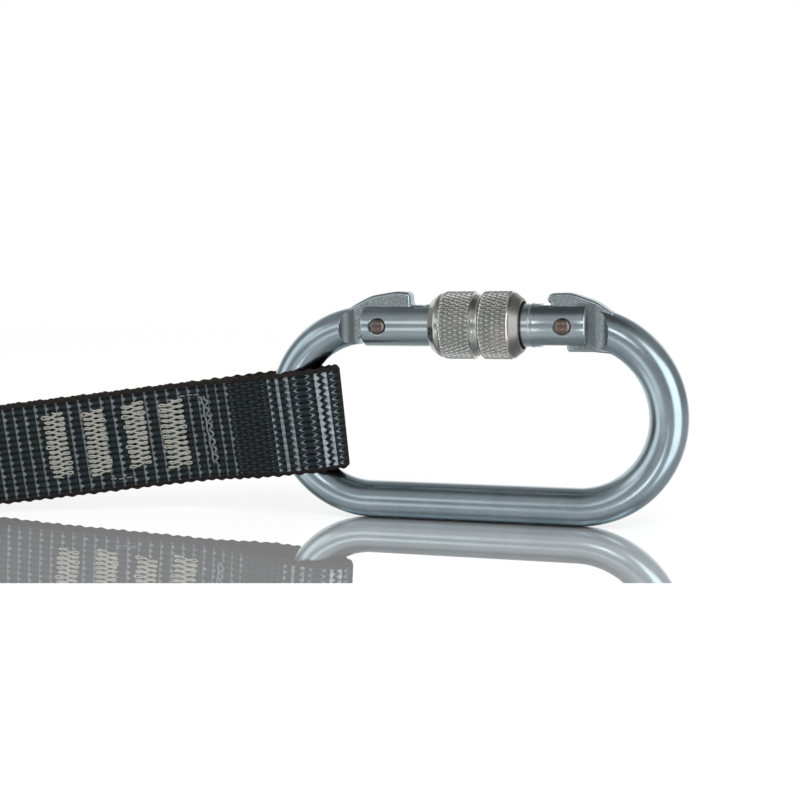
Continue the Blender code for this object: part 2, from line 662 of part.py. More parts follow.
def tear_webbing(mat):
    """Bonded tear webbing, folded to and fro in the cover."""
    pitch = TEAR_T + TEAR_GAP
    right = strap_axis(STRAP_LEN)[0] - TEAR_T / 2 - GAP
    left = PACK_LEFT_X + STRAP_TUCK + 2 * MM
    first = -pitch * (TEAR_RUNS - 1) / 2
    centres = [(right, first)]
    for run in range(TEAR_RUNS):
        y = first + pitch * run
        to_left = run % 2 == 0
        end_x = left + pitch / 2 if to_left else right - pitch / 2
        if run == TEAR_RUNS - 1:
            centres.append((left, y))
            break
        swing = -1 if to_left else 1
        for k in range(7):
            angle = math.pi * k / 6
            centres.append((end_x + swing * pitch / 2 * math.sin(angle),
                            y + pitch / 2 * (1 - math.cos(angle))))
    middle = MOUTH_H / 2 + 2 * GAP
    path = [(x, PACK_Y + y, middle) for x, y in centres]
    web = webbing("tear_webbing", path, [(0, 0, 1)] * len(path), WEB_W, TEAR_T, mat)
    smooth(web)
    return web


# Legs

def leg_path(side):
    """Centre line and width direction of one leg, from the pack to its sewn loop.

    side is -1 for the front leg and 1 for the back leg. The strap stands on edge along two
    runs, is drawn in at the tie, then turns round towards its hook and twists flat.
    """
    points = []
    inside = MOUTH_H / 2
    on_floor = WEB_W / 2 + LEG_LIFT
    start_x = PACK_LEFT_X + STRAP_TUCK + 2 * MM - TEAR_T / 2 - GAP

    def rise(x):
        lift = (TIE_T + 2 * GAP) * math.exp(-((x - TIE_X) / WAIST_REACH) ** 4)
        leave = 1 / (1 + math.exp((PACK_LEFT_X - LEG_DROP - x) / LEG_DROP_RUN))
        return on_floor + lift + (inside - on_floor) * leave

    for x in np.linspace(start_x, FOLD_X + FOLD_R, 26):
        points.append((x, LEG_OFFSET, rise(x)))
    for angle in np.linspace(0, math.pi, 9)[1:-1]:
        points.append((FOLD_X + FOLD_R - FOLD_R * math.sin(angle),
                       LEG_OFFSET + FOLD_R * (1 - math.cos(angle)), on_floor))
    for x in np.linspace(FOLD_X + FOLD_R, RETURN_X, 24):
        draw = (RUN_Y - LEG_OFFSET - WAIST_STEP) * math.exp(-((x - TIE_X) / WAIST_REACH) ** 4)
        points.append((x, RUN_Y - draw, rise(x) if x < PACK_LEFT_X - 2.7 * LEG_DROP else on_floor))
    for angle in np.linspace(0, math.pi, 10)[1:]:
        points.append((RETURN_X + RETURN_R * math.sin(angle),
                       RUN_Y + RETURN_R * (1 - math.cos(angle)), on_floor))
    widths = [(0.0, 0.0, 1.0)] * len(points)
    end_x = EYE_BAR_X + LOOP_LEN + GAP + 0.1 * MM
    for x in np.linspace(RETURN_X, end_x, 12)[1:]:
        turn = min(1.0, max(0.0, (RETURN_X - 5 * MM - x) / TWIST_RUN))
        twist = math.pi / 2 * turn * turn * (3 - 2 * turn)
        height = HOOK_Z + (on_floor - HOOK_Z) * math.cos(twist)
        points.append((x, LOOP_Y, height))
        widths.append((0.0, math.sin(twist), math.cos(twist)))
    path = [(x, PACK_Y + side * y, z) for x, y, z in points]
    return path, [(a, side * b, c) for a, b, c in widths]


def least_gap(path, reach):
    """Smallest distance between stretches of a path that lie further apart along it than
    reach, less the strap's thickness."""
    line = np.array(path)
    along = np.concatenate(([0.0], np.cumsum(np.linalg.norm(np.diff(line, axis=0), axis=1))))
    fine = np.linspace(0, along[-1], 900)
    dense = np.stack([np.interp(fine, along, line[:, k]) for k in range(3)], axis=1)
    apart = np.linalg.norm(dense[:, None] - dense[None], axis=2)
    far = np.abs(fine[:, None] - fine[None]) > reach
    return float(apart[far].min()) - WEB_T, float(along[-1])


def leg(name, side, mat):
    path, widths = leg_path(side)
    gap, length = least_gap(path, 3 * FOLD_R)
    print(f"{name}: length {length:.3f} m, least gap to itself {gap / MM:.1f} mm")
    strap = webbing(name, path, widths, WEB_W, WEB_T, mat)
    smooth(strap, 50)
    return strap


def hank_tie(mat):
    """Band round the four runs of the hank."""
    half_y = LEG_OFFSET + WAIST_STEP + WEB_T / 2 + 3 * GAP
    top = TIE_T + 2 * GAP + WEB_W + 5 * GAP
    inner = rounded([(-half_y, TIE_T, 2 * MM), (half_y, TIE_T, 2 * MM),
                     (half_y, top, 2 * MM), (-half_y, top, 2 * MM)], steps=3)
    out = half_y + TIE_T
    outer = rounded([(-out, 0, 3.5 * MM), (out, 0, 3.5 * MM),
                     (out, top + TIE_T, 3.5 * MM), (-out, top + TIE_T, 3.5 * MM)], steps=3)
    tie = plate("hank_tie", [outer, inner], TIE_W,
                lambda u, v, w: Vector((TIE_X + w, PACK_Y + u, v)), mat=mat)
    smooth(tie)
    return tie


# Scaffold hooks

def hook_place(side):
    """Places a hook point (p, q, w): the eye is nearest the karabiner, the hook lies flat."""
    return lambda p, q, w: Vector((EYE_X - p, PACK_Y + side * (EYE_Y + q), HOOK_Z + w))


def hook_body(name, place, mat):
    """Forged bar of the spine and bowl, joined to a thinner eye with the gate's lug."""
    spine_in = HOOK_SPINE_Q + HOOK_BAR
    nose_in = HOOK_NOSE_Q - HOOK_BAR
    inner_r = BOWL_R - HOOK_BAR
    neck = HOOK_NECK_P
    bar = rounded([
        (neck - 30 * MM, EYE_Q0 - 10 * MM, 4 * MM), (neck, HOOK_SPINE_Q, 34 * MM),
        (HOOK_TOP_P, HOOK_SPINE_Q, BOWL_R), (HOOK_TOP_P, HOOK_NOSE_Q, BOWL_R),
        (STEP_P, HOOK_NOSE_Q, BAR_EDGE + GAP), (STEP_P, nose_in, BAR_EDGE + GAP),
        (HOOK_TOP_P - HOOK_BAR, nose_in, inner_r - 2 * MM),
        (HOOK_TOP_P - HOOK_BAR, spine_in, inner_r), (neck + 16 * MM, spine_in, 24 * MM),
        (neck - 16 * MM, EYE_Q0 + 8 * MM, 6 * MM)], steps=6)
    body = plate(name, [bar], HOOK_T, place, edge=BAR_EDGE, edge_steps=1, mat=mat)
    eye = rounded([
        (EYE_END_P, EYE_Q0 - EYE_BAR, 13 * MM),
        (neck - 16 * MM, EYE_Q0 - EYE_BAR - 8 * MM, 12 * MM),
        (neck + 6 * MM, HOOK_SPINE_Q + 5 * MM, 0), (neck + 20 * MM, spine_in - 4 * MM, 0),
        (neck + 14 * MM, spine_in + 2 * MM, 16 * MM),
        (GATE_P + 3 * MM, 0.0, 6 * MM), (GATE_P + LUG_R, GATE_Q - 3 * MM, 4 * MM),
        (GATE_P + LUG_R - 1.5 * MM, GATE_Q + LUG_R - 1.5 * MM, 4 * MM),
        (GATE_P - 3 * MM, GATE_Q + LUG_R, 6 * MM),
        (neck - 30 * MM, EYE_Q1 + EYE_BAR - 2 * MM, 10 * MM),
        (EYE_END_P, EYE_Q1 + EYE_BAR, 13 * MM)], steps=5)
    hole = rounded([
        (EYE_END_P + EYE_BAR, EYE_Q0, EYE_CORNER),
        (EYE_END_P + EYE_BAR + EYE_HOLE_P, EYE_Q0, EYE_CORNER),
        (EYE_END_P + EYE_BAR + EYE_HOLE_P, EYE_Q1, EYE_CORNER),
        (EYE_END_P + EYE_BAR, EYE_Q1, EYE_CORNER)], steps=4)
    thin = plate("thin", [eye, hole], HOOK_THIN, place, edge=EYE_EDGE, edge_steps=0)
    combine(body, thin, "UNION")
    seat_run = NOSE_STEP - 3 * MM
    seat_q = nose_in + NOSE_SEAT
    seat_end = seat_q + seat_run * math.tan(gate_frame()[0])
    tongue = rounded([
        (HOOK_NOSE_P, HOOK_NOSE_Q - 1.0 * MM, 5 * MM),
        (HOOK_NOSE_P, seat_q, NOSE_EDGE + GAP),
        (HOOK_NOSE_P + seat_run, seat_end, 0), (STEP_P + 6 * MM, seat_end, 0),
        (STEP_P + 6 * MM, HOOK_NOSE_Q - 1.0 * MM, 0)], steps=4)
    nose = plate("nose", [tongue], HOOK_THIN, place, edge=NOSE_EDGE, edge_steps=0)
    combine(body, nose, "UNION")
    for p, q in ((GATE_P, GATE_Q), (LEVER_P, LEVER_Q)):
        pin = circle(p, q, HOOK_RIVET_D / 2 + GAP, 16)
        combine(body, plate("pin", [pin], 2 * HOOK_T, place), "DIFFERENCE")
    room = circle(LEVER_P, LEVER_Q, TORSION_R + TORSION_WIRE / 2 + GAP, 20)
    combine(body, plate("room", [room], 2 * TORSION_ROOM,
                        lambda p, q, w: place(p, q, w + HOOK_T / 2)), "DIFFERENCE")
    pocket = circle(GATE_P, GATE_Q, LUG_R + 3 * MM, 24)
    combine(body, plate("pocket", [pocket], TORSION_ROOM, place), "DIFFERENCE")
    smooth(body, 40)
    return body


def gate_frame():
    """Hook gate axis: from its hinge to the inner face of the nose tongue."""
    tip = Vector((HOOK_NOSE_P + 1 * MM, HOOK_NOSE_Q - HOOK_BAR + NOSE_SEAT - GAP))
    hinge = Vector((GATE_P, GATE_Q))
    reach = (tip - hinge).length
    web_in = HOOK_GATE_W / 2 - HOOK_GATE_WALL
    lean = math.asin(web_in / reach)
    direction = math.atan2(tip.y - hinge.y, tip.x - hinge.x) + lean
    return direction, reach * math.cos(lean)


def hook_gate(name, place, mat):
    """Folded sheet gate: a channel, open towards the nose, that straddles lug and nose."""
    direction, reach = gate_frame()

    def on_gate(s, t, w):
        p = GATE_P + s * math.cos(direction) - t * math.sin(direction)
        q = GATE_Q + s * math.sin(direction) + t * math.cos(direction)
        return place(p, q, w)

    half = HOOK_GATE_W / 2
    end = reach + 4 * MM
    web_start = LUG_R + 6 * MM
    cheek = rounded([
        (-half, -half, HOOK_GATE_ROUND), (end, -half, 3 * MM), (end, half - 5 * MM, 4 * MM),
        (end - 22 * MM, half - 2 * MM, 20 * MM), (-half, half, HOOK_GATE_ROUND)])
    gate = plate(name, [cheek], 2 * GATE_HALF_T, on_gate, edge=0.5 * MM, edge_steps=0, mat=mat)
    inner = HOOK_THIN / 2 + GAP
    channel = [(-half - 4 * MM, -half - 4 * MM), (web_start, -half - 4 * MM),
               (web_start, -half + HOOK_GATE_WALL), (end + 4 * MM, -half + HOOK_GATE_WALL),
               (end + 4 * MM, half + 4 * MM), (-half - 4 * MM, half + 4 * MM)]
    cutter = plate("channel", [[Vector(c) for c in channel]], 2 * inner, on_gate)
    combine(gate, cutter, "DIFFERENCE")
    hole = circle(0, 0, HOOK_RIVET_D / 2 + GAP, 16)
    combine(gate, plate("hole", [hole], 4 * inner, on_gate), "DIFFERENCE")
    smooth(gate, 40)
    return gate


def hook_lever(name, place, mat):
    """Folded sheet lock lever that straddles the spine. Its web stands off behind the spine,
    furthest at the end that the palm presses."""
    low, high = LEVER_P - LEVER_REACH, LEVER_P + LEVER_HEAD
    back_low, back_high = HOOK_SPINE_Q - LEVER_STAND, HOOK_SPINE_Q - LEVER_WALL - 4 * GAP
    cheek = rounded([
        (low, back_low, 3 * MM), (high, back_high, 3 * MM), (high, LEVER_Q + 3 * MM, 4 * MM),
        (LEVER_P + 6 * MM, LEVER_Q + 7 * MM, 6 * MM), (LEVER_P - 8 * MM, LEVER_Q + 7 * MM, 6 * MM),
        (LEVER_P - 20 * MM, HOOK_SPINE_Q + 4 * MM, 8 * MM),
        (low, back_low + 6.5 * MM, 2 * MM)], steps=3)
    lever = plate(name, [cheek], 2 * LEVER_HALF_T, place, edge=0.5 * MM, edge_steps=0, mat=mat)
    inner = HOOK_T / 2 + GAP
    slope = (back_high - back_low) / (high - low)
    over = 9 * MM
    channel = [Vector(c) for c in (
        (low - over, back_low - slope * over + LEVER_WALL),
        (high + over, back_high + slope * over + LEVER_WALL), (high + over, 0.0), (low - over, 0.0))]
    combine(lever, plate("channel", [channel], 2 * inner, place), "DIFFERENCE")
    hole = circle(LEVER_P, LEVER_Q, HOOK_RIVET_D / 2 + GAP, 16)
    combine(lever, plate("hole", [hole], 4 * inner, place), "DIFFERENCE")
    smooth(lever, 40)
    return lever


def hook(prefix, side, mats):
    """One hook. It swings on its eye bar; its gate and its lever turn on their rivets."""
    place = hook_place(side)
    swing = Vector((EYE_BAR_X, PACK_Y + side * LOOP_Y, HOOK_Z))
    gate = hinge_at(hook_gate(f"{prefix}_gate", place, mats["sheet"]), place(GATE_P, GATE_Q, 0))
    lever = hinge_at(hook_lever(f"{prefix}_lever", place, mats["sheet"]),
                     place(LEVER_P, LEVER_Q, 0))
    parts = [hook_body(f"{prefix}_body", place, mats["hook"])]
    hinges = (("gate", GATE_P, GATE_Q, 0.0, GATE_HALF_T),
              ("lever", LEVER_P, LEVER_Q, (HOOK_T - TORSION_ROOM) / 2, LEVER_HALF_T))
    for name, p, q, middle, grip in hinges:
        def turn(a, b, c, p=p, q=q):
            return place(p + b, q + c, a)

        parts.append(domed_rivet(
            f"{prefix}_{name}_rivet", HOOK_RIVET_D / 2, HOOK_RIVET_HEAD / 2, grip + GAP,
            grip + HOOK_RIVET_RISE, turn, mats["rivet"], sides=14))
        parts.append(coil(f"{prefix}_{name}_spring", TORSION_R, TORSION_WIRE,
                          middle - TORSION_RISE / 2, middle + TORSION_RISE / 2, 1.25, turn,
                          mats["spring"]))
        smooth(parts[-1], 60)
    return [hinge_at(part, swing) for part in parts] + [gate, lever]


def leg_loop(name, side, mat):
    """Sewn end loop, lying flat round the eye bar of its hook."""
    centres = [(EYE_BAR_X + s, PACK_Y + side * LOOP_Y, HOOK_Z + b)
               for s, b in loop_path(EYE_SWING_R, LOOP_FOLD, LOOP_LEN * 0.42, LOOP_LEN)]
    loop = webbing(name, centres, [(0.0, 1.0, 0.0)] * len(centres), WEB_W, WEB_T, mat)
    smooth(loop, 50)
    return loop


def build():
    clear_scene()
    mats = {
        "zinc": material("zinc_plated_steel", (0.48, 0.54, 0.58), 0.28, 1.0),
        "sleeve": material("sleeve_steel", (0.60, 0.59, 0.56), 0.32, 1.0),
        "rivet": material("rivet_steel", (0.36, 0.33, 0.31), 0.30, 1.0),
        "spring": material("spring_steel", (0.45, 0.45, 0.46), 0.35, 1.0),
        "hook": material("hook_zinc", (0.52, 0.55, 0.57), 0.34, 1.0),
        "sheet": material("sheet_zinc", (0.60, 0.60, 0.56), 0.30, 1.0),
        "web": material("dark_webbing", (0.028, 0.040, 0.045), 0.85),
        "cover": material("cover_fabric", (0.020, 0.022, 0.026), 0.90),
        "tear": material("tear_webbing", (0.55, 0.50, 0.36), 0.85),
        "tie": material("tie_band", (0.018, 0.018, 0.018), 0.80)}
    parts = karabiner(mats)
    parts.append(attachment_strap(mats["web"]))
    parts.append(absorber_cover(mats["cover"]))
    parts.append(tear_webbing(mats["tear"]))
    for prefix, side in (("front", -1), ("back", 1)):
        parts.append(leg(f"{prefix}_leg", side, mats["web"]))
        parts.append(leg_loop(f"{prefix}_leg_loop", side, mats["web"]))
        parts += hook(f"{prefix}_hook", side, mats)
    parts.append(hank_tie(mats["tie"]))
    for obj in parts:
        obj.location += SHIFT


build()
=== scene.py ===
"""Looks of the twin lanyard: a screw-gate karabiner on a glossy table, its sewn strap, and the
absorber pack, folded legs and scaffold hooks that lie behind the edge of the picture.

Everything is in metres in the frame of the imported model. New surfaces are grids of points worked
out with numpy; HOME is the karabiner's middle on the table.
"""

import math

import bmesh
import bpy
import numpy as np
from mathutils import Matrix, Vector


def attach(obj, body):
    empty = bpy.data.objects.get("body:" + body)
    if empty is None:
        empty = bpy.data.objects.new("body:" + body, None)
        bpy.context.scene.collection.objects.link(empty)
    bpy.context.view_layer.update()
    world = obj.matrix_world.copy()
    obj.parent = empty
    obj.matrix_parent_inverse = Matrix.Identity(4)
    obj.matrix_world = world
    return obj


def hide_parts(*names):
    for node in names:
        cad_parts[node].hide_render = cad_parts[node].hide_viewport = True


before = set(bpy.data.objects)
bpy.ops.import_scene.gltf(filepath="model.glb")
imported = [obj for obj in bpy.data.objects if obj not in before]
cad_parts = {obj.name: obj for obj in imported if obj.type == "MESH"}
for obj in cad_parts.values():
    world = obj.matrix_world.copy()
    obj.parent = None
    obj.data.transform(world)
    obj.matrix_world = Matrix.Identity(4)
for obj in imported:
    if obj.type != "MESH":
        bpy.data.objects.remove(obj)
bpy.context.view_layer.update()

MM = 0.001
HOME = np.array([285.925, 15.0, 0.0]) * MM

# Karabiner, as in the frame
BAR_R = 4.9 * MM
END_R = 23.2 * MM
ARC_X = 27.8 * MM
GATE_R = 5.5 * MM
AXIS_Z = 51.3 * MM
OVAL_Z = 28.1 * MM
TONGUE_T = 4.6 * MM
HINGE_X = 25.2 * MM
LATCH_X = -23.2 * MM
GATE_LEFT_X = -27.9 * MM
GATE_RIGHT_X = 30.9 * MM
NOSE_MILL_X = -30.3 * MM
HINGE_MILL_X = 32.9 * MM
MILL_RUN = 3.6 * MM
NOSE_TIP_X = -15.2 * MM
NOSE_HUMP_X = -25.7 * MM
HINGE_HUMP_X = 21.0 * MM
HEEL_X = 25.9 * MM
SLEEVE_LEFT_X = -9.4 * MM
SLEEVE_LEN = 23.8 * MM
SLEEVE_BORE_R = 5.95 * MM
NOSE_RISE = 3.25 * MM
HINGE_RISE = 2.55 * MM
HINGE_DROP = 1.0 * MM
CAM_R = 3.4 * MM
BLIND_BORE_R = 3.1 * MM
RIVET_SHAFT_R = 1.6 * MM
RIVET_HEAD_R = 2.15 * MM
RIVET_SEAT_Y = 5.25 * MM
RIVET_CROWN = 0.8 * MM
THREAD_X = 17.0 * MM
THREAD_HALF = 0.6 * MM
THREAD_RISE = 0.16 * MM
KNURL_TEETH = 45
KNURL_PITCH = 2.7 * MM
KNURL_BANDS = ((3.6, 11.3), (13.9, 21.1))
CONE_X = 21.5 * MM

# Webbing, pack, legs and hooks, as in the frame
WEB_W = 28 * MM
WEB_T = 2 * MM
RIB = 3.09 * MM
CORD = 1.73 * MM
PACK_RIGHT_X = -143 * MM
PACK_LEFT_X = -273 * MM
PACK_Y = -15 * MM
PACK_H = 36 * MM
PACK_T = 26 * MM
MOUTH_H = 31 * MM
MOUTH_T = 13 * MM
DIP = math.radians(6.4)
STRAP_RISE = 25.2 * MM
STRAP_RUN = 92 * MM
STRAP_LEN = 107 * MM
STRAP_FOLD = 16.1 * MM
STRAP_JOIN = 30 * MM
LAYER_GAP = 0.4 * MM
TEAR_T = 2.8 * MM
TIE_X = -470 * MM
TIE_T = 1.5 * MM
TIE_W = 25 * MM
FOLD_X = -626 * MM
FOLD_R = 13 * MM
RETURN_X = -247 * MM
RETURN_R = 29 * MM
LEG_OFFSET = 1.7 * MM
RUN_Y = LEG_OFFSET + 2 * FOLD_R
LOOP_Y = RUN_Y + 2 * RETURN_R
WAIST_STEP = 11 * MM
WAIST_REACH = 55 * MM
TWIST_RUN = 70 * MM
LOOP_LEN = 62 * MM
LOOP_FOLD = 10.6 * MM
EYE_BAR_X = -397 * MM
HOOK_Z = 7.85 * MM
EYE_SWING_R = math.hypot(3.5, 1.45) * MM
GAP = 0.3 * MM


# Camera: the photograph's, fitted to the karabiner's outline

def photo_camera():
    """A camera 309 mm from the oval's middle, 16 degrees to its right and 8 degrees above it."""
    yaw, pitch, roll = np.radians((15.837, 8.324, -1.074))
    back = np.array([math.sin(yaw) * math.cos(pitch), -math.cos(yaw) * math.cos(pitch),
                     math.sin(pitch)])
    level = np.array([math.cos(yaw), math.sin(yaw), 0.0])
    over = np.cross(back, level)
    right = level * math.cos(roll) + over * math.sin(roll)
    up = over * math.cos(roll) - level * math.sin(roll)
    place = HOME + np.array([0.0, 0.0, OVAL_Z]) + back * 309.17 * MM
    data = bpy.data.cameras.new("photo_camera")
    data.sensor_width = 36
    data.lens = 1194.82 / 800 * 36
    data.shift_x = (400 - 470.742) / 800
    data.shift_y = (414.847 - 400) / 800
    data.clip_start = 0.01
    data.clip_end = 50
    camera = bpy.data.objects.new("photo_camera", data)
    bpy.context.scene.collection.objects.link(camera)
    camera.matrix_world = Matrix([[*row, where] for row, where in
                                  zip(np.stack([right, up, back], 1).tolist(), place.tolist())]
                                 + [[0, 0, 0, 1]])
    bpy.context.scene.camera = camera
    return back


TO_CAMERA = photo_camera()


# Shader expressions

class Wire:
    """A socket of a shader tree. Arithmetic on wires adds Math nodes; tool adds any other."""

    def __init__(self, tree, socket=None):
        self.tree = tree
        self.socket = socket

    def feed(self, socket, value):
        if isinstance(value, Wire):
            self.tree.links.new(value.socket, socket)
        elif hasattr(value, "__len__") and len(value) == 3 and len(socket.default_value) == 4:
            socket.default_value = (*value, 1.0)
        else:
            socket.default_value = value

    def tool(self, kind, settings=None, feeds=None, out=0):
        """Adds a node: its settings, then the values or links of its sockets. A ramp's stops
        are (place, colour) pairs."""
        node = self.tree.nodes.new("ShaderNode" + kind)
        for key, value in (settings or {}).items():
            if key != "stops":
                setattr(node, key, value)
                continue
            ramp = node.color_ramp.elements
            while len(ramp) < len(value):
                ramp.new(1.0)
            for stop, (place, colour) in zip(ramp, value):
                stop.position = place
                stop.color = (*colour, 1.0) if hasattr(colour, "__len__") else (colour,) * 3 + (1,)
        for key, value in (feeds or {}).items():
            self.feed(node.inputs[key], value)
        return Wire(self.tree, node.outputs[out])

    def math(self, operation, *terms):
        return self.tool("Math", {"operation": operation}, dict(enumerate(terms)))

    def step(operation, swapped=False):
        """An operator or method that adds one Math node."""
        def adds(self, *others):
            terms = (self, *others)
            return self.math(operation, *(terms[::-1] if swapped else terms))
        return adds

    __add__ = __radd__ = step("ADD")
    __sub__ = step("SUBTRACT")
    __rsub__ = step("SUBTRACT", True)
    __mul__ = __rmul__ = step("MULTIPLY")
    __truediv__ = step("DIVIDE")
    __pow__ = step("POWER")
    __abs__ = step("ABSOLUTE")
    fract = step("FRACT")
    sine = step("SINE")
    least = step("MINIMUM")
    most = step("MAXIMUM")

    def rise(self, low, high):
        """0 below low, 1 above high, with a smooth step between."""
        return self.tool("MapRange", {"interpolation_type": "SMOOTHSTEP"},
                         {"Value": self, "From Min": low, "From Max": high})

    def band(self, middle, half, soft):
        """1 within half of middle, falling to 0 over soft."""
        return 1 - abs(self - middle).rise(half, half + soft)

    def blend(self, first, second, share=None):
        """The colour first where this, or share, is 0 and second where it is 1."""
        return self.tool("Mix", {"data_type": "RGBA"},
                         {0: self if share is None else share, 6: first, 7: second}, out=2)

    def part(self, axis):
        return self.tool("SeparateXYZ", None, {0: self}, out="XYZ".index(axis))

    def noise(self, scale, detail=2.0, rough=0.5):
        return self.tool("TexNoise", None, {"Vector": self, "Scale": scale, "Detail": detail,
                                            "Roughness": rough})

    def stretched(self, scale):
        return self.tool("Mapping", None, {"Vector": self, "Scale": scale})

    def bump(self, height, strength=1.0, distance=MM):
        return self.tool("Bump", None, {"Strength": strength, "Distance": distance,
                                        "Height": height})


class Finish:
    """A new material with its Principled shader and the coordinates of its piece."""

    def __init__(self, name, colour, roughness, metallic=0.0, **constants):
        self.material = bpy.data.materials.new(name)
        self.material.use_nodes = True
        tree = self.material.node_tree
        self.root = Wire(tree)
        self.shader = tree.nodes["Principled BSDF"]
        self.place = self.root.tool("TexCoord", out=3)
        self.set(**{"Base Color": colour, "Roughness": roughness, "Metallic": metallic})
        self.set(**{key.replace("_", " "): value for key, value in constants.items()})

    def set(self, **values):
        for key, value in values.items():
            self.root.feed(self.shader.inputs[key], value)

    def marks(self):
        """The piece's own map: metres along the strap and metres across it."""
        uv = self.root.tool("UVMap", {"uv_map": "marks"})
        return uv.part("X"), uv.part("Y"), uv


def plated_steel(name, colour, roughness, grain=0.35, streak=(1, 1, 1), shaded_from=None):
    """Bright plated steel: fine grain, faint clouding of the passivation and slight scuffs. Right
    of the cone's start, where one is given, its colour is darkened as painted shade and it is
    rougher."""
    made = Finish(name, colour, roughness, 1.0)
    here = made.place
    cloud = here.noise(90, 3.0, 0.6)
    fine = here.noise(3400, 2.0, 0.7)
    line = here.stretched(streak).noise(700, 2.0)
    dark = tuple(c * f for c, f in zip(colour, (0.80, 0.84, 0.86)))
    tint = (cloud.rise(0.35, 0.72) * 0.8).blend(dark, colour)
    rough = roughness - 0.05 + 0.08 * cloud + 0.06 * line
    if shaded_from is not None:
        edge = float(HOME[0]) + shaded_from
        cone_shade = here.part("X").rise(edge, edge + 0.2 * MM)
        # Painted shade on the cone: its colour is darkened to 0.42 of the steel's.
        tint = cone_shade.blend(tint, tuple(c * 0.42 for c in colour))
        rough = rough + 0.12 * cone_shade
    made.set(**{"Base Color": tint, "Roughness": rough,
                "Normal": made.root.bump(fine + line * 0.5, grain, 0.025 * MM)})
    return made.material


def milled_steel(name, colour, roughness):
    """The same steel where a cutter has left a matt grain, with painted glints as bright grains in
    its colour, and painted shade on the nose's milled arc and on the hinge's milled face beside
    the gate.
    """
    made = Finish(name, colour, roughness, 1.0)
    grain = made.place.noise(5200, 3.0, 0.75)
    # Painted glints: bright grains mixed into the colour.
    glint_grains = made.place.noise(3800, 2.0, 0.7).rise(0.42, 0.70)
    across = (made.place.part("X") - float(HOME[0])) / MM
    # Painted shade: the nose's milled arc is dark, the hinge's milled face beside the gate darker
    # than the rest.
    lit_facet = across.rise(NOSE_MILL_X / MM - 0.3, NOSE_MILL_X / MM - 0.1)
    beside_gate = 1 - made.place.part("Z").rise(AXIS_Z + GATE_R, AXIS_Z + GATE_R + 0.2 * MM)
    shade = 0.1 + 0.9 * lit_facet - 0.65 * across.band(30.9, 2.1, 0.2) * beside_gate
    tint = (glint_grains * 0.9).blend(tuple(c * 0.5 for c in colour), tuple(c * 1.2 for c in colour))
    made.set(**{"Base Color": (shade * 0.9).blend(tuple(c * 0.3 for c in colour), tint),
                "Roughness": roughness + 0.15 * grain,
                "Normal": made.root.bump(grain, 0.7, 0.04 * MM)})
    return made.material


FOLD_LINES = (
    # mm from the fold, then how far over each cord the painted highlight on the weft shows: the
    # middle and half width of the part of the cord's width where it does, and how bright it is
    (2.9, 0.2, 0, 0.3), (3.0, 0.25, 0.14, 0.35), (4.0, 0.85, 0.34, 1), (4.75, 1.05, 0, 1),
    (4.95, 1, 0, 1), (5.0, 1, 1.3, 1), (5.4, 1, 1.1, 1), (6.4, 1, 0, 1),
    (6.55, 0, 0, 1), (7.35, 0, 0.95, 1), (7.5, 0, 1.3, 1), (8.05, 0, 1.3, 1), (8.1, 0, 0, 1),
    (8.75, 1.05, 0, 1), (9.5, 0.85, 0.34, 1), (10.4, 0.25, 0.14, 0.35), (10.5, 0.2, 0, 0.3),
    (12.2, 0.2, 0, 0.25), (12.3, 0.25, 0.14, 0.3), (13.2, 0.85, 0.34, 0.8),
    (13.95, 1.05, 0, 0.8), (14.65, 1, 0, 0.66), (14.7, 1, 1.2, 0.66), (15.15, 1, 1.1, 0.66),
    (16.2, 1, 0, 0.64), (17.3, 0.5, 0, 0.6), (17.35, 0.5, 1, 0.62), (18.2, 0.5, 1, 0.6),
    (18.25, 0.5, 0, 0.6), (19.3, 1, 0, 0.8), (20.5, 1, 0.95, 0.8), (20.55, 1, 0, 0.7))
# The lattice's run and the start of the ribs, in mm from the fold, and one lozenge's length
LATTICE = (21.6, 32.4)
RIBS_FROM = 32.3
LOZENGE = 4.0


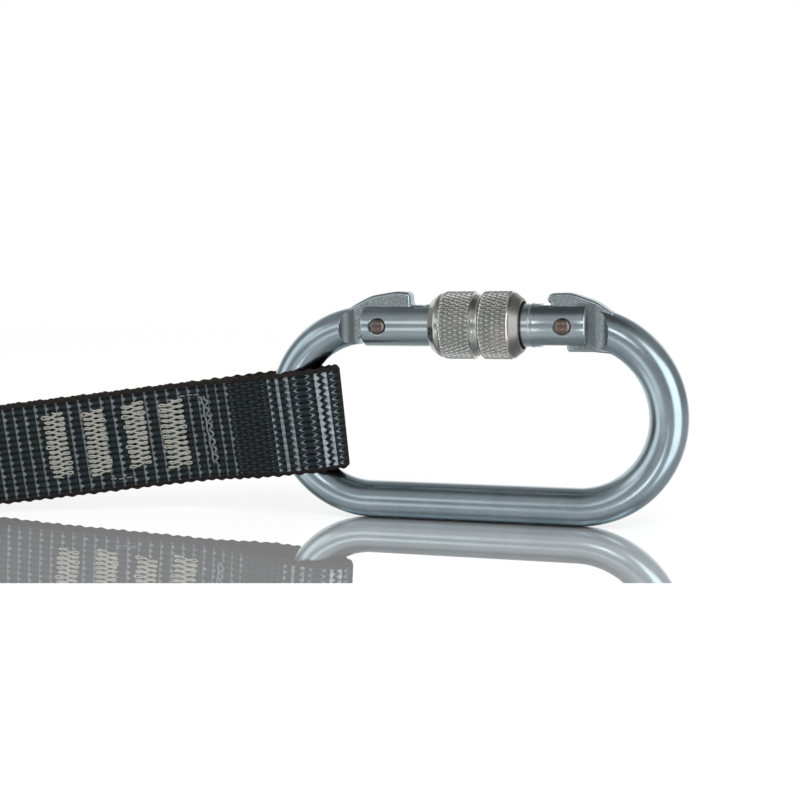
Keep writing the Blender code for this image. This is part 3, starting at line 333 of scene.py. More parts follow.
def woven(name, ground, light, edge, inside=False):
    """Heavy webbing. The map runs in metres from the fold and across. Across each cord runs a
    triangle wave, 1 at its edges; FOLD_LINES says where painted highlights on the weft show
    between the dark floats round the fold, a lattice of small chevrons of painted highlight
    follows, and then a painted highlight on each of the ribs, RIB apart. The floats' crests are
    painted lighter as painted highlight and the gaps between them darker as painted shade."""
    made = Finish(name, ground, 0.62, 0.0, Specular_IOR_Level=0.3)
    along, across, uv = made.marks()
    along = abs(along) / MM
    cord = abs((across / CORD).fract() * 2 - 1)
    lines = along.tool("ValToRGB", {"stops": [
        (u / 34, ((g + 0.5) / 2, h / 2, b)) for u, g, h, b in FOLD_LINES]}, {0: along / 34})
    split = {c: lines.tool("SeparateColor", None, {0: lines}, out=c)
             for c in ("Red", "Green", "Blue")}
    # Painted highlight round the fold where the weft catches the light, brightest mid-stretch.
    shows = split["Green"] * 2 - abs(cord - (split["Red"] * 2 - 0.5))
    fold = shows.rise(0.0, 0.12) * split["Blue"] * (0.62 + 0.38 * shows.rise(0.0, 0.6))
    share = ((along - LATTICE[0]) / LOZENGE).fract()
    way = abs(share * 2 - 1)
    lozenge = abs(1 - way - cord)
    past = (share * 2).fract()
    # Painted highlight: small chevrons at the lozenges' tips, brighter near the lattice's two
    # ends.
    meet = (past * 2 - 1 + abs(way - cord)).rise(0.0, 0.15) * (1 - past.rise(0.1, 0.45))
    middle, reach = sum(LATTICE) / 2, (LATTICE[1] - LATTICE[0]) / 2
    in_lattice = along.band(middle, reach, 0.1)
    rims = abs(along - middle).rise(2.4, 4.9)
    lattice = meet * in_lattice * (rims * 0.4 + 0.3)
    uneven = uv.stretched((260, 420, 1)).noise(1.0, 2.0)
    # Painted highlight on one flank of each of the ribs, toothed across the cords and uneven.
    beat = (along - RIBS_FROM) / (RIB / MM)
    in_ribs = along.rise(RIBS_FROM, RIBS_FROM + 0.1)
    beside = (beat.fract() - 0.5) * (RIB / MM) + 0.35 * (uneven - 0.5)
    rib_at = abs(beside)
    bulge = 0.14 + 1.6 * (1 - cord) * uneven
    rib_highlight = (beside + bulge).rise(0.0, 0.2) * (0.3 - beside).rise(0.0, 0.16)
    rib_highlight = rib_highlight * in_ribs * (0.2 + 0.75 * uneven) * (1 - 0.55 * cord)
    yarn = uv.stretched((1500, 5200, 1)).noise(1.0, 2.0)
    fluff = made.place.noise(1400, 3.0, 0.7)
    # Noise that breaks the painted highlights up unevenly.
    highlight_breakup = uv.stretched((500, 900, 1)).noise(1.0, 3.0, 0.6).rise(0.25, 0.62)
    # All the painted highlights of the weave together.
    pale_highlight = fold.most(lattice).most(rib_highlight) * (0.45 + 0.55 * highlight_breakup)
    round_top = 1 - cord * cord
    crest = round_top * (1 - in_ribs * (1 - (rib_at / 1.3).least(1) ** 0.6))
    crest = crest + in_lattice * (lozenge.rise(0.0, 0.45) - crest)
    # Painted shade in the gaps between the floats, where the crests fall away.
    seam = 1 - crest.rise(0.0, 0.42)
    hue = uv.stretched((70, 240, 1)).noise(1.0, 2.0).rise(0.42, 0.58)
    base = hue.blend(ground, tuple(c * f for c, f in zip(ground, (0.8, 1.5, 0.85))))
    # Random yarn and fluff tone, with the crests painted lighter as painted highlight.
    tint = (yarn * 0.55 + fluff * 0.35 + crest * 0.35).rise(0.45, 1.05).blend(
        tuple(c * 0.2 for c in ground), tuple(c * 4.2 for c in ground))
    tint = made.root.blend(tint, base, 0.5)
    # Painted shade: the gaps between the floats go near black.
    tint = (seam * 0.75).blend(tint, (0.002, 0.002, 0.003))
    # The painted highlights in their light colour.
    tint = (pale_highlight * (0.6 + 0.6 * yarn)).blend(tint, light)
    rim = abs(across).rise(WEB_W / 2 - 1.55 * MM, WEB_W / 2 - 1.25 * MM).most(
        1 - along.rise(1.3, 2.4))
    tint = rim.blend(tint, fluff.blend(tuple(c * 0.5 for c in edge), tuple(c * 1.5 for c in edge)))
    if inside:
        tint = fluff.blend(tuple(c * 0.5 for c in edge), edge)
    relief = crest * (1 - 0.55 * pale_highlight) + 0.16 * yarn + 0.4 * fluff * rim
    made.set(**{"Base Color": tint, "Roughness": 0.58 + 0.2 * pale_highlight + 0.2 * rim,
                "Normal": made.root.bump(relief, 1.0, 0.5 * MM)})
    return made.material


def yarn_finish(name, colour, dark):
    """Twisted sewing thread: fine slanting plies and a little fluff."""
    made = Finish(name, colour, 0.7)
    ply = made.place.noise(7000, 2.0, 0.7)
    made.set(**{"Base Color": ply.rise(0.3, 0.75).blend(dark, colour),
                "Normal": made.root.bump(ply, 0.6, 0.08 * MM)})
    return made.material


def cloth(name, ground, light, thread=0.55 * MM):
    """Tight plain weave of a pack cover."""
    made = Finish(name, ground, 0.8)
    along, across, _ = made.marks()
    warp = (along * (math.pi / thread)).sine()
    weft = (across * (math.pi / thread)).sine()
    cross = warp * weft
    cloud = made.place.noise(60, 3.0)
    tint = (cross * 0.5 + 0.5 + cloud * 0.5).rise(0.5, 1.4).blend(ground, light)
    made.set(**{"Base Color": tint, "Roughness": 0.82 + 0.1 * cloud,
                "Normal": made.root.bump(cross, 0.7, 0.12 * MM)})
    return made.material


# Meshes from grids

def grid(rows, columns, ring=False):
    """Row, column, next row and next column of each face between rows that are each closed;
    ring joins the last row to the first."""
    i, j = np.meshgrid(np.arange(rows if ring else rows - 1), np.arange(columns), indexing="ij")
    i, j = i.ravel(), j.ravel()
    return i, j, (i + 1) % rows, (j + 1) % columns


def skin(name, rows, ring=False, ends=True, marks=None, material=None, sharp=30):
    """A mesh through closed rows of points (n, m, 3), each joined to the next; ring joins the
    last row to the first, ends closes the outer rows. marks = (lengths along, lengths across),
    the second one longer by one, becomes the map."""
    n, m = rows.shape[:2]
    i, j, i2, j2 = grid(n, m, ring)
    faces = np.stack([i * m + j, i * m + j2, i2 * m + j2, i2 * m + j], 1).tolist()
    if ends and not ring:
        faces += [list(range(m))[::-1], list(range((n - 1) * m, n * m))]
    mesh = bpy.data.meshes.new(name)
    mesh.from_pydata(rows.reshape(-1, 3), [], faces)
    if marks is not None:
        along, across = (np.asarray(v, float) for v in marks)
        u = np.stack([along[i], along[i], along[i2], along[i2]], 1)
        v = np.stack([across[j], across[j + 1], across[j + 1], across[j]], 1)
        flat = np.stack([u, v], -1).reshape(-1, 2)
        layer = mesh.uv_layers.new(name="marks")
        flat = np.concatenate([flat, np.zeros((len(mesh.loops) - len(flat), 2))])
        layer.data.foreach_set("uv", flat.astype(np.float32).ravel())
    return finish_mesh(name, mesh, material, sharp)


def finish_mesh(name, mesh, material=None, sharp=30, merge=True):
    """Merges doubles, turns every face outwards, and shades smooth but for sharp edges."""
    bm = bmesh.new()
    bm.from_mesh(mesh)
    if merge:
        bmesh.ops.remove_doubles(bm, verts=bm.verts, dist=0.001 * MM)
    bmesh.ops.recalc_face_normals(bm, faces=bm.faces)
    bm.to_mesh(mesh)
    bm.free()
    mesh.shade_smooth()
    mesh.set_sharp_from_angle(angle=math.radians(sharp))
    obj = bpy.data.objects.new(name, mesh)
    bpy.context.scene.collection.objects.link(obj)
    if material:
        mesh.materials.clear()
        mesh.materials.append(material)
    return obj


def rounded(corners, steps=8):
    """Outline through corners (x, y, radius), each rounded by an arc of that radius."""
    points = []
    for i, (x, y, radius) in enumerate(corners):
        here = Vector((x, y))
        if radius <= 0:
            points.append(tuple(here))
            continue
        before = (Vector(corners[i - 1][:2]) - here).normalized()
        after = (Vector(corners[(i + 1) % len(corners)][:2]) - here).normalized()
        half = before.angle(after) / 2
        centre = here + (before + after).normalized() * radius / math.sin(half)
        start = here + before * radius / math.tan(half) - centre
        end = here + after * radius / math.tan(half) - centre
        turn = math.atan2(start.cross(end), start.dot(end))
        count = max(2, round(steps * abs(turn) / (math.pi / 2)))
        points += [tuple(centre + Matrix.Rotation(turn * k / count, 2) @ start)
                   for k in range(count + 1)]
    return np.array(points)


def of_faces(mesh, what):
    """The center or the normal of each face."""
    values = np.empty(len(mesh.polygons) * 3)
    mesh.polygons.foreach_get(what, values)
    return values.reshape(-1, 3)


def settle(obj, sharp=30):
    """Applies an object's modifiers to its mesh and shades it again."""
    graph = bpy.context.evaluated_depsgraph_get()
    mesh = bpy.data.meshes.new_from_object(obj.evaluated_get(graph))
    obj.modifiers.clear()
    obj.data = mesh
    mesh.shade_smooth()
    mesh.set_sharp_from_angle(angle=math.radians(sharp))
    return obj


def carve(obj, tool):
    """Cuts obj with tool, and removes the tool."""
    mod = obj.modifiers.new("cut", "BOOLEAN")
    mod.operation = "DIFFERENCE"
    mod.solver = "EXACT"
    mod.object = tool
    settle(obj)
    bpy.data.objects.remove(tool, do_unlink=True)


def join(name, objs):
    """One mesh from several, with their places and map kept."""
    bm = bmesh.new()
    slots = []
    for obj in objs:
        for mat in obj.data.materials:
            if mat not in slots:
                slots.append(mat)
    for obj in objs:
        index = [slots.index(mat) for mat in obj.data.materials]
        before = len(bm.faces)
        bm.from_mesh(obj.data)
        bm.faces.ensure_lookup_table()
        for face in bm.faces[before:]:
            face.material_index = index[face.material_index] if index else 0
    mesh = bpy.data.meshes.new(name)
    bm.to_mesh(mesh)
    bm.free()
    for mat in slots:
        mesh.materials.append(mat)
    for obj in objs:
        bpy.data.objects.remove(obj, do_unlink=True)
    made = bpy.data.objects.new(name, mesh)
    bpy.context.scene.collection.objects.link(made)
    return made


def revolve(name, profile, place, sides, material):
    """Surface of revolution through points (way along, radius)."""
    along, radius = np.array(profile).T
    angle = 2 * math.pi * np.arange(sides) / sides
    rows = place(np.repeat(along[:, None], sides, 1), radius[:, None] * np.cos(angle),
                 radius[:, None] * np.sin(angle))
    return skin(name, rows, ends=False, material=material)


def on_axis(a, b, c):
    """Turned place: along the gate's axis."""
    return np.stack([HOME[0] + a, HOME[1] + b, AXIS_Z + c], -1)


def upright(u, v, w):
    """Plate place: u along X, v up, w along Y, from the karabiner's middle."""
    return np.stack([HOME[0] + u, HOME[1] + w, v], -1)


def tubes(name, paths, radius, up, material=None, sides=8):
    """Round threads or wires through paths (threads, points, 3): circles square to each path
    that keep up to their side, smaller at the first and last, which are closed."""
    paths = np.asarray(paths, float)
    along = np.gradient(paths, axis=1)
    along /= np.linalg.norm(along, axis=2, keepdims=True)
    side = np.cross(along, np.broadcast_to(up, paths.shape))
    side /= np.linalg.norm(side, axis=2, keepdims=True)
    over = np.cross(side, along)
    angle = 2 * math.pi * np.arange(sides) / sides
    size = np.full(paths.shape[1], radius)
    size[[0, -1]] *= 0.5
    ring = (side[:, :, None] * np.cos(angle)[:, None] + over[:, :, None] * np.sin(angle)[:, None])
    points = paths[:, :, None] + size[:, None, None] * ring
    count, rows = paths.shape[:2]
    i, j, i2, j2 = grid(rows, sides)
    quads = np.stack([i * sides + j, i * sides + j2, i2 * sides + j2, i2 * sides + j], 1)
    ends = np.arange(sides)
    first = (np.arange(count) * rows * sides)[:, None]
    faces = (first[..., None] + quads).reshape(-1, 4).tolist()
    faces += (first + ends[::-1]).tolist() + (first + (rows - 1) * sides + ends).tolist()
    mesh = bpy.data.meshes.new(name)
    mesh.from_pydata(points.reshape(-1, 3), [], faces)
    return finish_mesh(name, mesh, material, sharp=70, merge=False)


def evenly(points, step, *others):
    """A path, and others that go with it, at equal steps along its length."""
    points = np.asarray(points, float)
    along = np.concatenate(([0.0], np.cumsum(np.linalg.norm(np.diff(points, axis=0), axis=1))))
    want = np.linspace(0, along[-1], max(2, round(along[-1] / step) + 1))
    out = [np.stack([np.interp(want, along, column) for column in np.asarray(block).T], 1)
           for block in (points, *others)]
    return (want, *out)


# Straps

def strap_section(width, thickness, across_step=0.7 * MM, edge_steps=5):
    """The webbing's cross-section, once round: inner face, edge, outer face, edge, as offsets
    across and outwards. Gives it and the number of steps over a face."""
    half = width / 2 - thickness / 2
    count = max(4, round(2 * half / across_step))
    face = np.linspace(-half, half, count + 1)
    bend = np.linspace(-math.pi / 2, math.pi / 2, edge_steps + 2)[1:-1]
    right = np.stack([half + thickness / 2 * np.cos(bend), thickness / 2 * np.sin(bend)], 1)
    points = np.concatenate([np.stack([face, np.full_like(face, -thickness / 2)], 1), right,
                             np.stack([face[::-1], np.full_like(face, thickness / 2)], 1),
                             right[::-1] * (-1, 1)])
    return points, count


WEAVE_RELIEF = 0.12 * MM
SCALLOP = 0.2 * MM


def strap(name, centres, across, material, thickness=WEB_T, step=0.7 * MM,
          across_step=0.7 * MM, fold_at=None, inside=None):
    """Woven webbing along a path: the section is carried along the centres, its faces rise
    and fall with the ribs and its selvedges are scalloped. The map is measured from fold_at,
    a share of the length. The face on the side of the section's negative height is inside."""
    along, centres, across = evenly(centres, step, across)
    tangent = np.gradient(centres, axis=0)
    tangent /= np.linalg.norm(tangent, axis=1)[:, None]
    across -= (across * tangent).sum(1)[:, None] * tangent
    across /= np.linalg.norm(across, axis=1)[:, None]
    normal = np.cross(tangent, across)
    section, flats = strap_section(WEB_W, thickness, across_step)
    c, h = section.T
    here = along + 100 * MM
    if fold_at is not None:
        here = along - along[-1] * fold_at
        here += FOLD_LEAD * np.where(here < 0, -1, 1)
    wave = np.cos(2 * math.pi * (np.abs(here) - RIBS_FROM * MM) / RIB)[:, None]
    slow = np.sin(math.pi * (here / RIB) + 1.0)[:, None] * 0.4
    out = h[None] * (1 + WEAVE_RELIEF / (thickness / 2) * (wave * 0.6 - 0.6))
    wide = c[None] * (1 - SCALLOP / (WEB_W / 2) * (wave + slow + 1.4)
                      * (abs(c[None]) / (WEB_W / 2)) ** 8)
    rows = (centres[:, None] + across[:, None] * wide[..., None]
            + normal[:, None] * out[..., None])
    made = skin(name, rows, marks=(here, np.append(c, c[0])), material=material, sharp=70)
    if inside:
        made.data.materials.append(inside)
        column = np.arange(len(made.data.polygons)) % len(c)
        made.data.polygons.foreach_set("material_index", (column < flats).astype(np.int32))
    return made


# Where the layers of a loop begin to close, as a share of its fold
LOOP_LEVEL = 0.28


def spread(s, bar_half, fold, join_at):
    """Half the distance between the middles of a loop's two layers at s past its bar: a
    cosine fall to where the layers meet."""
    level = LOOP_LEVEL * fold
    t = np.clip((s - level) / (join_at - level), 0, 1)
    wide = bar_half + GAP + 0.15 * MM + WEB_T / 2
    closed = (WEB_T + LAYER_GAP) / 2
    return closed + (wide - closed) * (1 + np.cos(math.pi * t)) / 2


def loop_path(bar_half, fold, join_at, length, fine=28):
    """Plan of a strap looped round a bar and sewn back on itself, as (s, b) points: an ellipse
    round the fold, the spread, then straight to the end."""
    level = LOOP_LEVEL * fold
    turn = np.linspace(0, math.pi / 2, fine)
    past = np.concatenate([np.linspace(level, join_at, fine),
                           np.linspace(join_at, length, fine)[1:]])
    half = spread(past, bar_half, fold, join_at)
    s = np.concatenate([-fold * np.cos(turn), past])
    b = np.concatenate([half[0] * np.sin(turn), half])
    return np.concatenate([s[::-1], s[1:]]), np.concatenate([b[::-1], -b[1:]])


# The fold leans a little to the left at its top, and the map starts FOLD_LEAD before its middle
LEAN = -0.034
FOLD_LEAD = 1.2 * MM
STRAP_BEND = ((STRAP_RISE - MOUTH_H / 2 - DIP * STRAP_RUN / 2) / (math.sin(DIP) - DIP / 2))


def strap_line(s):
    """The strap's middle at a distance s from the bar: a steady dip that levels out towards
    the pack, drifting from the karabiner's plane to the pack's. Gives place and slope."""
    s = np.asarray(s, float)
    ease = STRAP_RUN - STRAP_BEND
    steady = np.minimum(s, STRAP_BEND)
    t = np.clip((s - STRAP_BEND) / ease, 0, 1)
    x = -51 * MM - steady * math.cos(DIP) - np.maximum(0, s - STRAP_BEND)
    z = STRAP_RISE - steady * math.sin(DIP) - DIP * ease * (t - t * t / 2)
    drift = np.clip((-57 * MM - x) / (-57 * MM - PACK_RIGHT_X + 4 * MM), 0, 1)
    y = PACK_Y * drift * drift * (3 - 2 * drift)
    return x, y, z, DIP * (1 - t)


def attachment_strap(material, inside):
    s, b = loop_path(BAR_R, STRAP_FOLD - FOLD_LEAD, STRAP_JOIN, STRAP_LEN)
    x, y, z, slope = strap_line(s)
    centres = np.stack([x, y - b, z], 1) + HOME
    lean = LEAN * (1 - np.clip((s + 4 * MM) / (24 * MM), 0, 1))
    across = np.stack([-np.sin(slope) - lean, np.zeros_like(slope), np.cos(slope)], 1)
    return strap("attachment_strap_web", centres, across, material, step=0.45 * MM,
                 fold_at=0.5, inside=inside)


def on_strap(s, c, lift, face=1):
    """A place on the strap: s from the bar, c up across it and lift above its front or, for
    face = -1, its rear."""
    x, y, z, slope = strap_line(s)
    b = spread(s, BAR_R, STRAP_FOLD, STRAP_JOIN)
    return np.stack([x - c * np.sin(slope), y - face * (b + WEB_T / 2 + lift),
                     z + c * np.cos(slope)], -1) + HOME


def tack(name, place, middle, count, pitch, reach, seed, radius=0.21 * MM):
    """A bar tack: one thread to and fro over its length, reach, moving on across the strap by
    pitch each time. It overruns itself, so that each turn leaves a small open loop."""
    rng = np.random.default_rng(seed)
    turn = np.linspace(0, 2 * math.pi * count, 22 * count)
    loop = turn / (2 * math.pi)
    uneven = np.interp(loop * 2, np.arange(2 * count + 1), rng.uniform(-1, 1, 2 * count + 1))
    drift = np.interp(loop, np.arange(count + 1), rng.uniform(-1, 1, count + 1))
    along = middle[0] + reach / 2 * np.sin(turn) * (1 + 0.12 * uneven) + 0.3 * MM * drift
    across = (middle[1] + pitch * (loop - count / 2) + 0.22 * MM * drift * np.cos(turn)
              + (0.42 + 0.12 * uneven) * MM * np.sin(2 * turn))
    lift = radius * (0.75 + 0.55 * np.sin(turn + 0.8) * np.cos(turn * 0.5))
    path, up = place(along, across, lift)
    return tubes(name, path[None], radius, up, thread_finish, 7)


# Each tack's place along and across the strap, its length, its turns and their pitch, in mm
TACKS = ((31.9, 0.1, 6.5, 13, 1.44), (42.4, 1.2, 5.7, 13, 1.38), (53.3, 0.3, 5.5, 14, 1.30),
         (64.0, 0.9, 5.6, 13, 1.38))
CHAIN = ((22.6, 0.12, 0.9), (21.5, 0.5, 1.7))
RUNS = np.array([(23.5, 10.2), (25.6, 10.3), (27.7, 10.2), (47.5, -10.4), (49.6, -10.2),
                 (45.4, -10.3)])


def strap_sewing():
    """Four bar tacks of two threads on both faces of the strap, the CHAIN of two strands
    before the first (place, sway and beat), and the short stitches of other RUNS."""
    made = []
    for face in (1, -1):
        def place(s, c, lift, face=face):
            return on_strap(s, c, lift, face), (0.0, -face, 0.0)

        made += [tack(f"tack_{k}", place, (s * MM, c * MM), count, pitch * MM, reach * MM,
                      10 * k + face + 1) for k, (s, c, reach, count, pitch) in enumerate(TACKS)]
        made += [tack(f"second_{k}", place, ((s - 0.2) * MM, (c + 0.5) * MM), count - 1,
                      pitch * MM, 0.8 * reach * MM, 10 * k + face + 61, 0.19 * MM)
                 for k, (s, c, reach, count, pitch) in enumerate(TACKS)]
        turn = np.linspace(0, 2 * math.pi * 5, 160)
        c = (9.5 - 18.5 * turn / turn[-1]) * MM
        for start, sway, beat in CHAIN:
            s = (start + sway * np.sin(turn * beat) - 0.9 * turn / turn[-1]) * MM
            path, up = place(s, c, (0.2 + 0.14 * np.cos(turn * beat)) * MM)
            made.append(tubes("chain", path[None], 0.28 * MM, up, thread_grey, 7))
        t = np.linspace(0, 1, 9)
        path, up = place((RUNS[:, :1] + 1.7 * t) * MM, (RUNS[:, 1:] + 0 * t) * MM,
                         (0.26 * np.sin(math.pi * t) - 0.1) * MM + 0 * RUNS[:, :1])
        made.append(tubes("run", path, 0.2 * MM, up, thread_grey, 7))
    sewn = join("strap_sewing", made)
    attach(sewn, "lanyard")


def leg_loop(prefix, side):
    """The leg's sewn end loop, flat round the eye bar, with two bar tacks on each face."""
    s, b = loop_path(EYE_SWING_R, LOOP_FOLD, LOOP_LEN * 0.42, LOOP_LEN)
    middle = HOME + (EYE_BAR_X, PACK_Y + side * LOOP_Y, HOOK_Z)
    centres = middle + np.stack([s, np.zeros_like(s), b], 1)
    across = np.tile((0.0, 1.0, 0.0), (len(s), 1))
    web = strap(f"{prefix}_leg_loop_web", centres, across, webbing_finish, fold_at=0.5)
    made = [web]
    top = WEB_T + LAYER_GAP / 2
    for face in (1, -1):
        def place(u, v, lift, face=face):
            return (middle + np.stack([u, v, face * (top + lift)], -1)), (0.0, 0.0, face)

        made += [tack("loop_tack", place, (u * MM, 0.0), 15, 1.36 * MM, 8 * MM, u + face)
                 for u in (34, 50)]
    loop = join(f"{prefix}_leg_loop_sewn", made)
    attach(loop, "lanyard")
    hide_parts(f"{prefix}_leg_loop")


def leg_path(side):
    """Middle line and width direction of one leg: two runs on edge, drawn in at the tie, a
    turn towards its hook and a quarter twist."""
    inside = MOUTH_H / 2
    on_floor = WEB_W / 2 + 0.1 * MM
    start_x = PACK_LEFT_X + 17 * MM - TEAR_T / 2 - GAP

    def rise(x):
        lift = (TIE_T + 2 * GAP) * np.exp(-((x - TIE_X) / WAIST_REACH) ** 4)
        leave = 1 / (1 + np.exp((PACK_LEFT_X - 22 * MM - x) / (7 * MM)))
        return on_floor + lift + (inside - on_floor) * leave

    out = np.linspace(start_x, FOLD_X + FOLD_R, 90)
    bend = np.linspace(0, math.pi, 30)[1:-1]
    home = np.linspace(FOLD_X + FOLD_R, RETURN_X, 90)
    turn = np.linspace(0, math.pi, 40)[1:]
    end_x = EYE_BAR_X + LOOP_LEN + GAP + 0.1 * MM
    last = np.linspace(RETURN_X, end_x, 40)[1:]
    draw = (RUN_Y - LEG_OFFSET - WAIST_STEP) * np.exp(-((home - TIE_X) / WAIST_REACH) ** 4)
    t = np.clip((RETURN_X - 5 * MM - last) / TWIST_RUN, 0, 1)
    twist = math.pi / 2 * t * t * (3 - 2 * t)
    x = np.concatenate([out, FOLD_X + FOLD_R - FOLD_R * np.sin(bend), home,
                        RETURN_X + RETURN_R * np.sin(turn), last])
    y = np.concatenate([np.full_like(out, LEG_OFFSET), LEG_OFFSET + FOLD_R * (1 - np.cos(bend)),
                        RUN_Y - draw, RUN_Y + RETURN_R * (1 - np.cos(turn)),
                        np.full_like(last, LOOP_Y)])
    z = np.concatenate([rise(out), np.full_like(bend, on_floor),
                        np.where(home < PACK_LEFT_X - 60 * MM, rise(home), on_floor),
                        np.full_like(turn, on_floor),
                        HOOK_Z + (on_floor - HOOK_Z) * np.cos(twist)])
    flat = np.concatenate([np.zeros(len(x) - len(last)), twist])
    centres = np.stack([x, PACK_Y + side * y, z], 1) + HOME
    across = np.stack([np.zeros_like(x), side * np.sin(flat), np.cos(flat)], 1)
    return centres, across


def leg(prefix, side, material):
    centres, across = leg_path(side)
    made = strap(f"{prefix}_leg_web", centres, across, material, step=0.93 * MM,
                 across_step=1.3 * MM)
    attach(made, "lanyard")
    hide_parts(f"{prefix}_leg")
    return made


NAVY_GREEN = (0.0075, 0.0115, 0.0145)
# Colour of the webbing's painted highlights on the weft and ribs.
PALE_HIGHLIGHT = (0.44, 0.505, 0.545)
BROWN_BLACK = (0.015, 0.011, 0.011)
webbing_finish = woven("dark_webbing_finish", NAVY_GREEN, PALE_HIGHLIGHT, BROWN_BLACK)
webbing_inside = woven("webbing_inside_finish", NAVY_GREEN, PALE_HIGHLIGHT, BROWN_BLACK, inside=True)
thread_finish = yarn_finish("tack_thread_finish", (0.60, 0.60, 0.55), (0.22, 0.22, 0.19))
thread_grey = yarn_finish("grey_thread_finish", (0.30, 0.33, 0.35), (0.10, 0.12, 0.13))
for prefix, side in (("front", -1), ("back", 1)):
    leg(prefix, side, webbing_finish)
    leg_loop(prefix, side)


# Karabiner

ZINC = (0.47, 0.56, 0.605)
zinc = plated_steel("zinc_finish", ZINC, 0.20)
milled = milled_steel("milled_finish", (0.55, 0.62, 0.64), 0.34)
bright = plated_steel("gate_finish", (0.56, 0.64, 0.67), 0.17, grain=0.25, streak=(0.1, 1, 1))
# The sleeve's cone gets painted shade in its colour.
turned_steel = plated_steel("sleeve_finish", (0.66, 0.645, 0.61), 0.18, grain=0.15,
                            streak=(6, 1, 1), shaded_from=SLEEVE_LEFT_X + CONE_X)
rivet_steel = plated_steel("rivet_finish", (0.21, 0.168, 0.15), 0.26)
spring_steel = plated_steel("spring_finish", (0.45, 0.45, 0.46), 0.3)


def mill_limit(x, z):
    """Half thickness left by the cutters in the bar's upper ends: the tongue's beside the
    tongue, then a concave arc that runs out into the round bar over MILL_RUN."""
    half = TONGUE_T / 2
    rise = BAR_R - half
    radius = (MILL_RUN ** 2 + rise ** 2) / (2 * rise)
    past = np.maximum(0, np.where(x < 0, NOSE_MILL_X - x, x - HINGE_MILL_X))
    arc = half + radius - np.sqrt(np.maximum(0, radius ** 2 - past ** 2))
    return np.where((past >= MILL_RUN) | (z < OVAL_Z), 2 * BAR_R, np.maximum(arc, half))


def bar_rows():
    """The bent bar: circles carried round three quarters of the oval. Each circle is cut to
    mill_limit on both flanks, with its points gathered at the two corners of each flat."""
    start = math.acos((HINGE_MILL_X - 0.4 * MM - ARC_X) / END_R)
    end = math.acos((-NOSE_MILL_X - 0.4 * MM - ARC_X) / END_R)
    first, last = END_R * (start + math.pi / 2), END_R * (end + math.pi / 2)
    total = first + 2 * ARC_X + last
    near = np.arange(0, 9 * MM, 0.1 * MM)
    s = np.concatenate([near, np.linspace(9 * MM, total - 9 * MM, 190), total - near[::-1]])
    on_right, on_left = s < first, s > first + 2 * ARC_X
    angle = np.where(on_right, start - s / END_R,
                     np.where(on_left, -math.pi / 2 - (s - first - 2 * ARC_X) / END_R,
                              -math.pi / 2))
    centre_x = np.where(on_right, ARC_X, np.where(on_left, -ARC_X, ARC_X - (s - first)))
    nx, nz = np.cos(angle), np.sin(angle)

    def corner(sign):
        turn = np.full_like(s, math.radians(80))
        for _ in range(12):
            reach = END_R + sign * BAR_R * np.cos(turn)
            left = mill_limit(centre_x + reach * nx, OVAL_Z + reach * nz)
            turn = np.minimum(math.radians(80), np.arcsin(np.minimum(1, left / BAR_R)))
        return turn

    outer, inner = corner(1), corner(-1)
    cap = np.linspace(-1, 1, 57)
    flat = np.linspace(0, 1, 10)[1:-1]
    out = [BAR_R * np.cos(outer[:, None] * cap)]
    y = [BAR_R * np.sin(outer[:, None] * cap)]
    top, low = BAR_R * np.cos(outer)[:, None], -BAR_R * np.cos(inner)[:, None]
    side_out = top + (low - top) * flat
    side_y = np.sqrt(np.maximum(0, BAR_R ** 2 - side_out ** 2))
    out += [side_out, -BAR_R * np.cos(inner[:, None] * cap[::-1]), side_out[:, ::-1]]
    y += [side_y, BAR_R * np.sin(inner[:, None] * cap[::-1]), -side_y[:, ::-1]]
    out, y = np.concatenate(out, 1), np.concatenate(y, 1)
    x = centre_x[:, None] + (END_R + out) * nx[:, None]
    z = OVAL_Z + (END_R + out) * nz[:, None]
    limit = mill_limit(x, z)
    return np.stack([HOME[0] + x, HOME[1] + np.clip(y, -limit, limit), z], -1)


def nose_outline():
    """The nose tongue: hump, rounded button, thin tip under the sleeve, rivet notch."""
    top = AXIS_Z + GATE_R + NOSE_RISE
    seat = AXIS_Z + GATE_R + GAP
    finger = AXIS_Z + GATE_R - 0.3 * MM
    notch = 2.05 * MM
    floor = AXIS_Z - 3.1 * MM
    tooth = AXIS_Z - 2.0 * MM
    return rounded([
        (NOSE_MILL_X - 5.5 * MM, AXIS_Z - 5.0 * MM, 0),
        (NOSE_MILL_X - 5.5 * MM, AXIS_Z + 2.2 * MM, 0),
        (NOSE_MILL_X + 0.4 * MM, AXIS_Z + 5.7 * MM, 9 * MM),
        (NOSE_HUMP_X, top - 1.0 * MM, 9 * MM),
        (NOSE_TIP_X - 4.0 * MM, top, 7 * MM), (NOSE_TIP_X, top - 0.2 * MM, 1.3 * MM),
        (NOSE_TIP_X + 0.1 * MM, seat, 0.2 * MM), (NOSE_TIP_X + 0.6 * MM, finger, 0.3 * MM),
        (NOSE_TIP_X + 3.5 * MM, finger, 0.3 * MM),
        (NOSE_TIP_X + 3.5 * MM, finger - 2.1 * MM, 0.3 * MM),
        (LATCH_X + 7.4 * MM, finger - 2.1 * MM, 0.5 * MM), (LATCH_X + 7.0 * MM, tooth, 0.5 * MM),
        (LATCH_X + notch, tooth, 0.4 * MM), (LATCH_X + notch, AXIS_Z + notch, 0.6 * MM),
        (LATCH_X - notch, AXIS_Z + notch, 0.6 * MM), (LATCH_X - notch, floor, 0.4 * MM),
        (NOSE_MILL_X + 1.0 * MM, floor, 0), (NOSE_MILL_X, AXIS_Z - 5.0 * MM, 1 * MM)])


